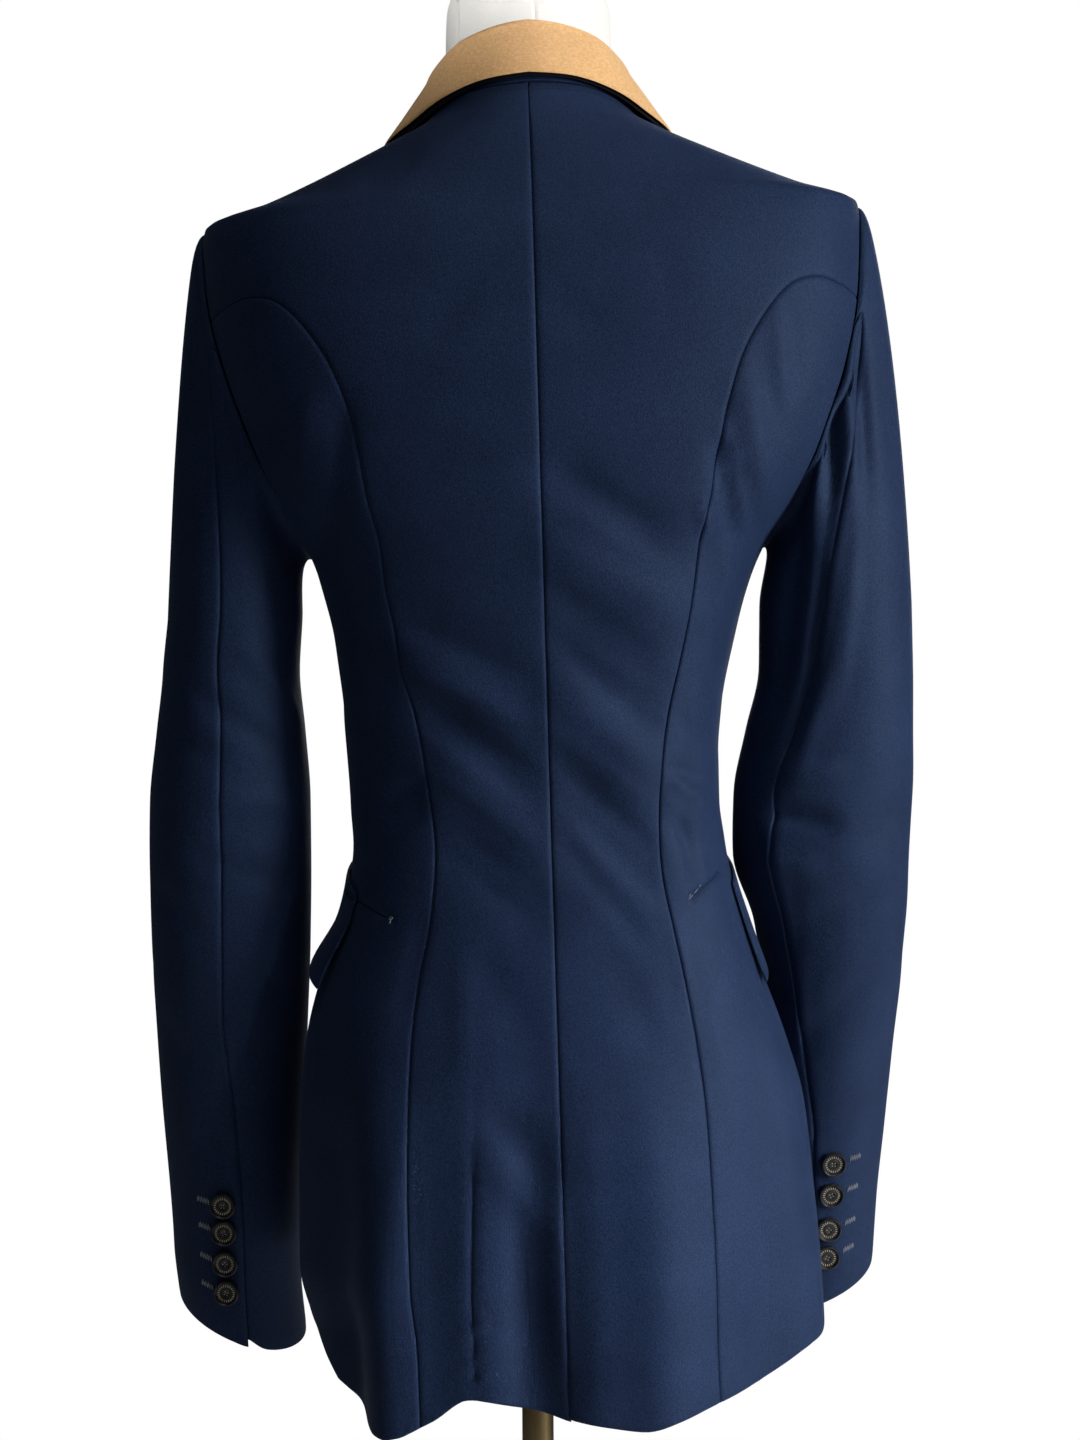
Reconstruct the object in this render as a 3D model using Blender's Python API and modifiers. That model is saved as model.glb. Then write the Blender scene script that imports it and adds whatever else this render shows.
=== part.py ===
"""An equestrian show coat on a limbless dress form with a pole and a round base.

Every size in the tables is in millimetres. The coat has its own frame: x to the wearer's left,
y to the back, z up, with its origin on the centre line at the level of the nape (the back neck
seam). world() hangs that frame on the form, a little askew, as such a coat hangs.
"""
import math

import bpy
import bmesh
import numpy as np
from mathutils import Vector
from mathutils.geometry import delaunay_2d_cdt

# Driving dimensions, in millimetres
MM = 0.001
NAPE_HEIGHT = 1370.0
WALL = 2.0
SEAM_GAP = 0.3
SEAM_INNER_GAP = 0.9
LEAN = 0.0234
TILT = 0.040
TILT_FADES_AT = -500.0
PLANE_RADIUS = 120.0
PANEL_STEP = 25.0
SEAM_STEP = 22.0
SHOULDER_LEVEL = -80.0
SHOULDER_STRETCH = 2.2

# The coat's body, a section for each level: half-width at the wearer's left and right, depth of
# the back and the front, how far back the middle of the section lies, and how square it is
TORSO_COLUMNS = ("z", "left", "right", "back", "front", "middle", "square")
TORSO = (
    (6, 48, 48, 54, 44, 0, 0.00),
    (-11, 61, 61, 61, 52, 0, 0.02),
    (-22, 82, 80, 66, 57, 0, 0.04),
    (-34, 107, 106, 72, 63, 0, 0.06),
    (-46, 133, 133.5, 77, 69, 0, 0.08),
    (-57, 159.5, 160.5, 81, 74, 0, 0.10),
    (-66, 187, 186, 84, 79, 0, 0.12),
    (-78, 189, 187, 89, 85, 0, 0.13),
    (-100, 189, 187, 95, 94, 0, 0.14),
    (-128, 187, 186, 99, 104, 0, 0.15),
    (-160, 181, 181, 102, 114, 0, 0.16),
    (-200, 167, 166, 102, 125, 0, 0.17),
    (-230, 149, 147, 99, 130, 0, 0.18),
    (-257, 132, 126, 95, 131, 0, 0.18),
    (-280, 125, 116, 92, 128, 0, 0.18),
    (-304, 120, 109, 88, 124, 0, 0.18),
    (-340, 117, 101, 82, 115, 0, 0.18),
    (-372, 115, 97, 79, 108, 0, 0.18),
    (-400, 114, 97, 78, 105, 0, 0.18),
    (-420, 113, 99, 79, 104, 0, 0.18),
    (-440, 115, 102, 82, 105, 2, 0.18),
    (-463, 119, 108, 85, 107, 4, 0.16),
    (-490, 131, 116, 90, 109, 7, 0.13),
    (-531, 142, 130, 99, 111, 11, 0.09),
    (-566, 146, 139, 107, 112, 14, 0.06),
    (-610, 147, 143, 113, 114, 15, 0.05),
    (-655, 147, 146, 118, 116, 15, 0.05),
    (-690, 139, 147, 121, 117, 15, 0.05),
    (-745, 135, 148, 124, 118, 15, 0.05),
)

# The skirt's flutes: the turn of each from the centre back, its width and its depth at the hem.
# Columns: turn, width, depth
FLUTES = (
    (41, 9, 11), (6.5, 7, -10), (-6, 5, 3), (-19, 10, 10), (-46, 9, -5), (-66, 9, 5),
    (58, 8, -6), (78, 9, 4), (100, 10, -4), (120, 10, 6), (148, 10, -4),
    (-92, 9, -3), (-120, 10, 6), (-146, 10, -4),
)
FLUTES_START = -470.0
FLUTES_FULL = -720.0

# Soft folds across the back: both ends, the width across and the depth, + standing out.
# Columns: x1, z1, x2, z2, width, depth
FOLDS = (
    (2, -215, -72, -262, 15, -2.9), (4, -255, -78, -300, 15, 3.2),
    (-2, -298, -66, -348, 15, -3.0), (2, -335, -62, -385, 14, 3.4),
    (-2, -376, -60, -450, 15, -3.2), (84, -290, 6, -336, 15, -2.9),
    (82, -312, 4, -362, 14, 3.2), (74, -334, 2, -402, 15, -3.2),
    (66, -372, 2, -436, 15, 3.4), (58, -404, 0, -470, 15, -2.8),
    (-64, -395, -88, -405, 8, 2.4), (-72, -405, -90, -440, 8, -2.4),
    (70, -390, 96, -402, 9, -2.2), (104, -170, 122, -262, 9, -2.8),
    (-112, -170, -124, -240, 9, 2.6), (-98, -205, -104, -260, 8, -2.4),
)

# The armhole, a level for each row, with the depth of its back and its front edge
ARMHOLE_COLUMNS = ("z", "back", "front")
ARMHOLE = (
    (-66, 0, 0), (-71, 9, -8), (-84, 18, -17), (-102, 25.5, -25), (-122, 32, -31.5),
    (-140, 38.5, -38), (-160, 43.5, -44.5), (-182, 46.5, -50), (-204, 45.5, -52.5),
    (-225, 39, -47), (-243, 27, -34), (-254, 12, -16), (-257, 0, 0),
)
PRINCESS_ROW = 4
HINDARM_ROW = 5
FRONT_SEAM_ROW = 9
FOREARM_ROW = 5

# Seams and edges as points on the cloth, (x, z), from the top down
BACK_PRINCESS = (
    (166, -116), (154.5, -114.5), (139.5, -119.7), (123, -138), (108, -166), (98, -203),
    (91, -240), (84, -280), (77, -318), (69.5, -350), (64.5, -378), (62, -404), (62.5, -438),
    (66.5, -466), (72.5, -496), (77, -526), (80, -565), (81, -615), (80.5, -665), (79, -700),
)
FRONT_ROLL = ((60, -18), (54, -50), (46, -90), (37, -130), (26, -175), (14, -220), (2, -250))
LAPEL_TOP = ((56, -66), (66, -72), (78, -70), (101, -84))
LAPEL_EDGE = ((98, -120), (86, -165), (63, -210), (36, -240), (14, -252))

# Seams and edges by their turn from the centre back, in degrees, and z
NECK_LINE = ((0, 0), (24, -0.6), (48, -2.6), (68, -5.5), (90, -9), (112, -13), (127, -18))
FRONT_SEAM = ((115, -262), (118, -320), (124, -395), (130, -440), (132, -500), (132, -580))
HEM = {
    "left": (
        (0, -722), (9, -716.2), (21, -711.4), (30, -724), (41, -735), (50, -731), (58, -722.5),
        (67, -714), (71, -704), (75, -690), (82, -678), (95, -671), (112, -666), (132, -660),
    ),
    "right": (
        (0, -721), (7, -723.5), (15, -726), (22, -722), (30, -717), (46, -708.5), (54, -701.5),
        (62, -694), (74, -687.5), (82, -680), (95, -670), (112, -665), (132, -660),
    ),
}
FRONT_HEM = ((140, -653), (150, -634), (160, -598), (169, -550), (178, -495), (185, -450))
FRONT_EDGE = ((187, -420), (187, -350), (187, -290), (184, -262))

# The right front laps over the left one, which stays on the body's surface
LAP_LIFT = 3.8
LAP_FROM = 158.0
LAP_FULL = 170.0
LAP_TOP = (-130.0, -200.0)
LAPEL_GAP = 0.4
LAPEL_WALL = 1.8

# Pocket flaps: their corners (turn, z), and how far the lower edge stands off
FLAP_CORNERS = {
    "left": ((66, -447), (126, -419), (127, -474), (67, -503)),
    "right": ((71, -445), (126, -419), (127, -474), (72, -500)),
}
FLAP_HEIGHT = 55.0
FLAP_GAP = 0.5
FLAP_WALL = 2.0
FLAP_STAND = {"left": 5.5, "right": 1.5}

# The sleeves, a section for each level: its middle, half-sizes and the turn of the hindarm seam
SLEEVE_COLUMNS = ("z", "x", "half_x", "y", "half_y", "seam")
SLEEVES = {
    "left": (
        (-290, 176.5, 38.5, 2, 42, 84), (-320, 180, 39, 0, 41, 85), (-355, 181.5, 42.5, -2, 40, 88),
        (-395, 183.5, 46, -5, 39, 88), (-440, 185.5, 46.5, -11, 39, 89),
        (-480, 187.5, 46, -20, 40, 89), (-515, 189, 44.5, -28, 41, 89),
        (-575, 191.5, 41.5, -40, 41, 98), (-630, 193, 38, -48, 41, 103),
        (-668, 193, 37, -51, 41, 103), (-700, 191, 37, -54, 41, 101),
    ),
    "right": (
        (-290, 166.5, 43.5, 2, 43, 104), (-325, 166, 44, 0, 42, 113), (-360, 161.5, 48, -3, 41, 119),
        (-395, 157.5, 51.5, -8, 40, 127), (-430, 156, 51, -15, 40, 128),
        (-470, 162, 44.5, -32, 41, 132), (-510, 163.5, 40.5, -50, 42, 127),
        (-550, 162, 38.5, -66, 42, 117), (-600, 159, 37, -80, 42, 105),
        (-650, 155, 36, -90, 42, 103), (-691, 152, 36, -95, 42, 103),
    ),
}
# The sleeve's hem is not level: how far it rises at the outside and drops at the back
CUFF_RISE = {"left": 14.0, "right": 13.0}
CUFF_DROP = {"left": 11.0, "right": 9.0}
FOREARM_TURN = 292.0
SLEEVE_HEAD_IN = {"left": 9.0, "right": 2.0}
HEAD_STEPS = (0.0, 0.10, 0.22, 0.36, 0.52, 0.70, 0.86)
TUBE_STEPS = 11

# The collar, a section for each row: where its foot stands on the neck line, how far its roll
# lies in and up from there, and where its outer edge lies and how far off the cloth.
# Columns: foot, foot_z, inward, up, edge, edge_z, lift
COLLAR = (
    (0, 0, 11, 36.5, 0, 2, 7), (24, -0.6, 10, 35, 26, 0, 6.4), (48, -2.6, 5.8, 31.5, 49, -5, 6),
    (68, -5.5, 4.4, 27, 69, -11, 5.8), (90, -9, 3.6, 23.5, 90, -19.5, 5.4),
    (112, -13, 3.4, 19, 112, -25.5, 5.2), (137, -20, 4, 16, 131, -31.5, 5),
    (156.5, -37, 1, 14, 147, -47, 5), (165.5, -57, 0, 13, 156, -62, 5),
)
COLLAR_STATIONS = 12
COLLAR_WALL = 1.6
UNDERCOLLAR_WALL = 1.1
UNDERCOLLAR_INSET = 2.8
UNDERCOLLAR_SHOWS = 1.8
ROLL_HALF_WIDTH = 4.2
COLLAR_LIES_FLAT = (105.0, 150.0)

# Buttons
CUFF_BUTTON = {"radius": 7.5, "thickness": 3.4}
FRONT_BUTTON = {"radius": 9.5, "thickness": 4.0}
CUFF_BUTTON_TURN = 87.0
CUFF_BUTTON_LEVELS = {
    "left": (-624.5, -639.6, -656.7, -672.7), "right": (-609.8, -628.0, -648.1, -664.3),
}
FRONT_BUTTON_LEVELS = (-292, -354, -416)
BUTTON_CLEARANCE = 0.4

# The dress form: how far its cover lies inside the coat's inner face
FORM_EASE_COLUMNS = ("z", "side", "depth")
FORM_EASE = (
    (6, 0.8, 2.5), (-46, 1.2, 3.5), (-57, 4, 4), (-66, 8, 4.5), (-78, 9, 4.5), (-150, 9, 4.5),
    (-200, 14, 5), (-240, 14, 5), (-262, 10, 5), (-304, 6, 5.5), (-350, 6, 6), (-420, 6, 6.5),
    (-470, 7, 7),
    (-531, 13, 12), (-600, 22, 19), (-640, 28, 25),
)
FORM_TOP = -14.0
FORM_DROP = 0.7
FORM_DROP_ENDS = -66.0
FORM_FOOT = -640.0
FORM_SIDES = 28
# The form's neck, from its root up: level, half-width, half-depth and how far forward it leans
NECK_COLUMNS = ("z", "half_x", "half_y", "forward")
NECK = (
    (-11, 50, 50.5, 0), (6, 48.6, 50.5, 4), (24, 47.8, 50.5, 9), (44, 47.6, 50, 14),
    (58, 46.8, 49, 17), (66, 44.5, 46.5, 19),
)
NECK_CAP = {"radius": 38.0, "thickness": 10.0}
FORM_PLATE = {"radius": 62.0, "thickness": 12.0}
POLE_RADIUS = 9.0
POLE_SLEEVE = {"radius": 13.0, "length": 60.0}
BASE_RADIUS = 165.0
BASE_THICKNESS = 12.0
BASE_HUB = {"radius": 24.0, "height": 34.0}

COLOURS = {
    "navy": (0.012, 0.019, 0.055, 0.62, 0.0),
    "camel": (0.62, 0.36, 0.14, 0.95, 0.0),
    "undercollar": (0.012, 0.012, 0.016, 0.9, 0.0),
    "button": (0.05, 0.05, 0.055, 0.35, 0.6),
    "form_cloth": (0.72, 0.68, 0.60, 0.9, 0.0),
    "metal": (0.45, 0.33, 0.20, 0.28, 1.0),
    "base": (0.10, 0.10, 0.10, 0.5, 0.0),
}


def column(table, columns, name):
    """One named column of a table as an array."""
    return np.array([row[columns.index(name)] for row in table], dtype=float)


def smooth_steps(xs, ys):
    """A monotone cubic curve y(x) through the rows of a table."""
    order = np.argsort(xs)
    xs, ys = np.asarray(xs, float)[order], np.asarray(ys, float)[order]
    gaps = np.diff(xs)
    slopes = np.diff(ys) / gaps
    inner = np.where(slopes[:-1] * slopes[1:] > 0,
                     2 * slopes[:-1] * slopes[1:] / (slopes[:-1] + slopes[1:] + 1e-12), 0.0)
    tangents = np.concatenate(([slopes[0]], inner, [slopes[-1]]))

    def value(x):
        x = np.clip(np.asarray(x, float), xs[0], xs[-1])
        i = np.clip(np.searchsorted(xs, x, side="right") - 1, 0, len(gaps) - 1)
        t = (x - xs[i]) / gaps[i]
        return ((1 + 2 * t) * (1 - t) ** 2 * ys[i] + t * (1 - t) ** 2 * gaps[i] * tangents[i]
                + t * t * (3 - 2 * t) * ys[i + 1] + t * t * (t - 1) * gaps[i] * tangents[i + 1])

    return value


def columns_of(table, columns):
    """Every column of a table as a smooth function of its first column."""
    levels = column(table, columns, columns[0])
    return {name: smooth_steps(levels, column(table, columns, name)) for name in columns[1:]}


def ease_between(value, start, end):
    """0 before start, 1 after end, and smooth between."""
    t = np.clip((value - start) / (end - start), 0, 1)
    return t * t * (3 - 2 * t)


def smooth_path(points, per_span=6):
    """A smooth curve through points of any dimension."""
    points = np.asarray(points, float)
    ends = np.vstack((2 * points[0] - points[1], points, 2 * points[-1] - points[-2]))
    t = np.linspace(0, 1, per_span, endpoint=False)[:, None]
    spans = []
    for a, b, c, d in zip(ends[:-3], ends[1:-2], ends[2:-1], ends[3:]):
        spans.append(0.5 * (2 * b + (c - a) * t + (2 * a - 5 * b + 4 * c - d) * t ** 2
                            + (3 * b - a - 3 * c + d) * t ** 3))
    return np.vstack(spans + [points[-1:]])


def resample(points, step):
    """The same path with evenly spaced points, about a step apart, and both ends kept."""
    points = np.asarray(points, float)
    run = np.concatenate(([0], np.cumsum(np.linalg.norm(np.diff(points, axis=0), axis=1))))
    count = max(1, int(round(run[-1] / step)))
    at = np.linspace(0, run[-1], count + 1)
    return np.stack([np.interp(at, run, points[:, k]) for k in range(points.shape[1])], axis=1)


BODY = columns_of(TORSO, TORSO_COLUMNS)


def plain_body(turn, z):
    """The coat's body without its folds, for turns in radians and levels."""
    sine, cosine = np.sin(turn), np.cos(turn)
    left, right, middle, square = (BODY[n](z) for n in ("left", "right", "middle", "square"))
    half = (left + right) / 2 + (left - right) / 2 * sine
    depth = np.where(cosine > 0, BODY["back"](z) - middle, BODY["front"](z) + middle)
    x = half * sine * (1 + square * cosine ** 2)
    y = middle + depth * cosine * (1 + square * sine ** 2)
    return np.stack((x, y, z + 0 * x), axis=-1)


def normals_of(surface, turn, z, small=0.002):
    """Unit normals of a surface of turn and z, pointing out."""
    along = surface(turn + small, z) - surface(turn - small, z)
    up = surface(turn, z + 0.3) - surface(turn, z - 0.3)
    normal = np.cross(up, along)
    return normal / np.linalg.norm(normal, axis=-1, keepdims=True)


def fold_height(turn, z):
    """How far the flutes and folds stand out of the plain body."""
    degrees = np.degrees(np.mod(turn + math.pi, 2 * math.pi) - math.pi)
    grown = ease_between(z, FLUTES_START, FLUTES_FULL)
    height = 0 * turn
    for centre, width, depth in FLUTES:
        away = (degrees - centre + 180) % 360 - 180
        height = height + grown * depth * np.exp(-(away / width) ** 2)
    place = plain_body(turn, z)
    for x1, z1, x2, z2, width, depth in FOLDS:
        run = np.array((x2 - x1, z2 - z1), float)
        length = np.linalg.norm(run)
        run = run / length
        dx, dz = place[..., 0] - x1, z - z1
        along = (dx * run[0] + dz * run[1]) / length
        across = dx * -run[1] + dz * run[0]
        fade = ease_between(along, -0.15, 0.3) * (1 - ease_between(along, 0.7, 1.15))
        height = height + depth * fade * np.exp(-(across / width) ** 2) * (place[..., 1] > 0)
    return height


def body(turn, z):
    """The outer face of the coat's body, with its flutes and folds."""
    turn, z = np.asarray(turn, float), np.asarray(z, float)
    return plain_body(turn, z) + normals_of(plain_body, turn, z) * fold_height(turn, z)[..., None]


def world(points):
    """From the coat's own frame to the scene: it leans and tilts on the form. Metres."""
    points = np.asarray(points, float)
    x, y, z = points[..., 0], points[..., 1], points[..., 2]
    tilt = TILT * np.clip(1 - z / TILT_FADES_AT, 0, 1)
    return np.stack((x + LEAN * z, y, z - tilt * x + NAPE_HEIGHT), axis=-1) * MM


def turn_at_width(x, z, front=False):
    """The turn of the point of the body's left side that lies at x, on the back or the front."""
    half, square = BODY["left"](z) / 2 + BODY["right"](z) / 2, BODY["square"](z)
    sine = np.clip(x / half, -1, 1)
    for _ in range(12):
        sine = np.clip(x / half / (1 + square * (1 - sine ** 2)), -1, 1)
    turn = np.arcsin(sine)
    return math.pi - turn if front else turn


def turn_at_depth(y, z):
    """The turn of the point of the body's left side that lies at y."""
    middle, square = BODY["middle"](z), BODY["square"](z)
    depth = np.where(y > middle, BODY["back"](z) - middle, BODY["front"](z) + middle)
    cosine = (y - middle) / depth
    for _ in range(12):
        cosine = (y - middle) / depth / (1 + square * (1 - cosine ** 2))
    return np.arccos(np.clip(cosine, -1, 1))


def flat(turn, z):
    """A place on the cloth as a point of the plane the panels are laid out in.

    The plane is stretched at the shoulders, where the cloth lies almost level.
    """
    z = np.asarray(z, float)
    level = np.where(z > SHOULDER_LEVEL, SHOULDER_LEVEL + (z - SHOULDER_LEVEL) * SHOULDER_STRETCH, z)
    return np.stack((np.asarray(turn, float) * PLANE_RADIUS, level), axis=-1)


def unflat(places):
    """The turn and level of points of that plane."""
    level = places[..., 1]
    z = np.where(level > SHOULDER_LEVEL,
                 SHOULDER_LEVEL + (level - SHOULDER_LEVEL) / SHOULDER_STRETCH, level)
    return places[..., 0] / PLANE_RADIUS, z


def by_turn(rows):
    rows = np.asarray(rows, float)
    return flat(np.radians(rows[:, 0]), rows[:, 1])


def by_width(rows, front=False):
    rows = np.asarray(rows, float)
    return flat(turn_at_width(rows[:, 0], rows[:, 1], front), rows[:, 1])


def armhole_points(detail=1):
    """The armhole from its top round the back, the foot and the front, in the plane."""
    z = column(ARMHOLE, ARMHOLE_COLUMNS, "z")
    back = flat(turn_at_depth(column(ARMHOLE, ARMHOLE_COLUMNS, "back"), z), z)
    front = flat(turn_at_depth(column(ARMHOLE, ARMHOLE_COLUMNS, "front"), z), z)
    loop = np.vstack((back, front[-2:0:-1]))
    if detail == 1:
        return loop
    around = np.vstack((loop[-2:], loop, loop[:3]))
    fine = smooth_path(around, detail)
    return fine[2 * detail:(2 + len(loop)) * detail]


def seams(hand, step=SEAM_STEP, detail=1):
    """The named seams and edges of one half, each with its points shared by its pieces."""
    hole = armhole_points(detail)
    princess_top = hole[PRINCESS_ROW * detail]
    front_top = hole[len(hole) - FRONT_SEAM_ROW * detail]
    hem_z = smooth_steps([row[0] for row in HEM[hand]], [row[1] for row in HEM[hand]])
    princess = np.vstack((princess_top, by_width(BACK_PRINCESS)))
    foot_turn = turn_at_width(BACK_PRINCESS[-1][0], -720.0)
    foot = flat(foot_turn, hem_z(math.degrees(foot_turn)))
    princess = resample(smooth_path(np.vstack((princess, foot))), step)
    front_foot = by_turn(HEM[hand][-1:])
    front = resample(smooth_path(np.vstack((front_top, by_turn(FRONT_SEAM), front_foot))), step)
    neck = resample(smooth_path(by_turn(NECK_LINE)), step)
    shoulder_at = int(np.argmin(np.abs(neck[:, 0] - math.pi / 2 * PLANE_RADIUS)))
    degrees = np.degrees(foot_turn)

    def hem_run(start, end):
        turns = np.linspace(start, end, 24)
        return resample(flat(np.radians(turns), hem_z(turns)), step * 0.55)

    roll = by_width(FRONT_ROLL, front=True)
    edge = smooth_path(np.vstack((neck[-1], roll[1:], by_turn(FRONT_EDGE[::-1]))))
    corner = smooth_path(np.vstack((by_turn(FRONT_EDGE[:1]), by_turn(FRONT_HEM[::-1]), front_foot)))
    opening = np.vstack((resample(edge, step), resample(corner, step)[1:]))
    neck_foot, arm_top = neck[shoulder_at], hole[0]
    along = resample(np.vstack((neck_foot, arm_top)), step / 2)
    centre = resample(np.vstack((flat(0, 0), flat(0, hem_z(0)))), step)
    return {
        "centre": centre, "neck_back": neck[:shoulder_at + 1], "neck_front": neck[shoulder_at:],
        "shoulder": along, "princess": princess, "front": front, "opening": opening,
        "hem_back": hem_run(0, degrees), "hem_side": hem_run(degrees, HEM[hand][-1][0]), "armhole": hole,
        "arm_back": hole[:PRINCESS_ROW * detail + 1],
        "arm_side": hole[PRINCESS_ROW * detail:len(hole) - FRONT_SEAM_ROW * detail + 1],
        "arm_front": np.vstack((hole[len(hole) - FRONT_SEAM_ROW * detail:], hole[:1])),
    }


def outline(*runs):
    """One closed outline from runs that meet end to end."""
    return np.vstack([run[:-1] for run in runs])


def inset(loop, distance):
    """A closed outline drawn in by a distance. It runs the way its area is positive."""
    before, after = loop - np.roll(loop, 1, axis=0), np.roll(loop, -1, axis=0) - loop
    before = before / np.linalg.norm(before, axis=1, keepdims=True)
    after = after / np.linalg.norm(after, axis=1, keepdims=True)
    inward = np.stack((-(before + after)[:, 1], (before + after)[:, 0]), axis=1)
    length = np.linalg.norm(inward, axis=1, keepdims=True)
    cosine = np.clip(length / 2, 0.35, 1)
    return loop + inward / length * distance / cosine


def area_of(loop):
    other = np.roll(loop, -1, axis=0)
    return 0.5 * np.sum(loop[:, 0] * other[:, 1] - other[:, 0] * loop[:, 1])


def inside_of(points, loop):
    """Which points lie inside a closed outline."""
    inside = np.zeros(len(points), bool)
    other = np.roll(loop, -1, axis=0)
    for (ax, ay), (bx, by) in zip(loop, other):
        crosses = (ay > points[:, 1]) != (by > points[:, 1])
        reach = (bx - ax) * (points[:, 1] - ay) / (by - ay + 1e-12) + ax
        inside ^= crosses & (points[:, 0] < reach)
    return inside


def distance_to(points, loop, closed=True):
    """How far each point lies from an outline."""
    best = np.full(len(points), 1e9)
    other = np.roll(loop, -1, axis=0)
    count = len(loop) if closed else len(loop) - 1
    for a, b in zip(loop[:count], other[:count]):
        run = b - a
        t = np.clip(((points - a) @ run) / max(run @ run, 1e-9), 0, 1)
        best = np.minimum(best, np.linalg.norm(points - a - t[:, None] * run, axis=1))
    return best


def triangulate(loop, step, inner_lines=()):
    """Fill an outline with even triangles. Inner lines become edges of them."""
    (x0, y0), (x1, y1) = loop.min(axis=0), loop.max(axis=0)
    rise = step * 0.92
    lattice = []
    for i, y in enumerate(np.arange(y0 + rise / 2, y1, rise)):
        shift = step / 2 * (i % 2)
        lattice += [(x, y) for x in np.arange(x0 + step / 4 + shift, x1, step)]
    lattice = np.array(lattice)
    keep = inside_of(lattice, loop) & (distance_to(lattice, loop) > 0.55 * step)
    for line in inner_lines:
        keep &= distance_to(lattice, line, closed=False) > 0.45 * step
    points = [Vector(p) for p in loop]
    edges = []
    for line in inner_lines:
        first = len(points)
        points += [Vector(p) for p in line]
        edges += [(i, i + 1) for i in range(first, len(points) - 1)]
    points += [Vector(p) for p in lattice[keep]]
    result = delaunay_2d_cdt(points, edges, [list(range(len(loop)))], 1, 1e-5)
    return np.array([tuple(v) for v in result[0]]), [tuple(f) for f in result[2]]


def build_object(name, points, faces, material, smooth_angle=40.0):
    """One named object from points in metres."""
    mesh = bpy.data.meshes.new(name)
    mesh.from_pydata([tuple(p) for p in points], [], [tuple(f) for f in faces])
    mesh.validate()
    mesh.materials.append(materials[material])
    mesh.shade_smooth()
    mesh.set_sharp_from_angle(angle=math.radians(smooth_angle))
    piece = bpy.data.objects.new(name, mesh)
    collection.objects.link(piece)
    return piece


def wall(name, outer, inner, faces, material):
    """A closed wall between two faces that share their triangles."""
    count = len(outer)
    used = {}
    for face in faces:
        for a, b in zip(face, face[1:] + face[:1]):
            used[(a, b)] = True
    rims = [(b, a, a + count, b + count) for a, b in used if (b, a) not in used]
    back = [tuple(reversed([i + count for i in face])) for face in faces]
    points = np.vstack((outer, inner))
    return build_object(name, world(points), list(faces) + back + rims, material)


def lift_of_lap(turn, z):
    """How far the lapping front stands off the body, by its turn and level."""
    near_edge = ease_between(np.abs(np.degrees(turn)), LAP_FROM, LAP_FULL)
    return LAP_LIFT * near_edge * ease_between(z, *LAP_TOP)


def panel(name, loop, mirrored, lap=False, inner_lines=(), step=PANEL_STEP):
    """A flat outline of the left half, made as a wall on the body, or its mirror piece."""
    loop = loop if area_of(loop) > 0 else loop[::-1]
    loop = inset(loop, SEAM_GAP / 2)
    places, faces = triangulate(loop, step, inner_lines)
    sheet = {"places": places, "faces": faces, "mirrored": mirrored, "lap": lap}
    layer(name, sheet, np.ones(len(faces), bool), 0.0, WALL, "navy", below=True)
    return sheet


def layer(name, sheet, chosen, gap, thickness, material, below=False, stand=None):
    """A wall made from a panel's points: the panel itself, or a piece that lies on it."""
    places, side = sheet["places"], -1.0 if sheet["mirrored"] else 1.0
    turn, z = unflat(places)
    turn = turn * side
    rest, normal = body(turn, z), normals_of(body, turn, z)
    lift = (lift_of_lap(turn, z) if sheet["lap"] else 0 * turn) + gap
    if stand is not None:
        lift = lift + stand(places)
    top, bottom = (lift, lift - thickness) if below else (lift + thickness, lift)
    faces = [f for f, keep in zip(sheet["faces"], chosen) if keep]
    if side > 0:
        faces = [tuple(reversed(f)) for f in faces]
    kept = sorted({i for face in faces for i in face})
    new = {old: i for i, old in enumerate(kept)}
    faces = [tuple(new[i] for i in face) for face in faces]
    outer = (rest + normal * top[:, None])[kept]
    inner = (rest + normal * bottom[:, None])[kept]
    return wall(name, outer, inner, faces, material)


def faces_within(sheet, loop):
    """Which triangles of a panel lie inside an outline."""
    centres = np.array([sheet["places"][list(f)].mean(axis=0) for f in sheet["faces"]])
    return inside_of(centres, loop)


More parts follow.
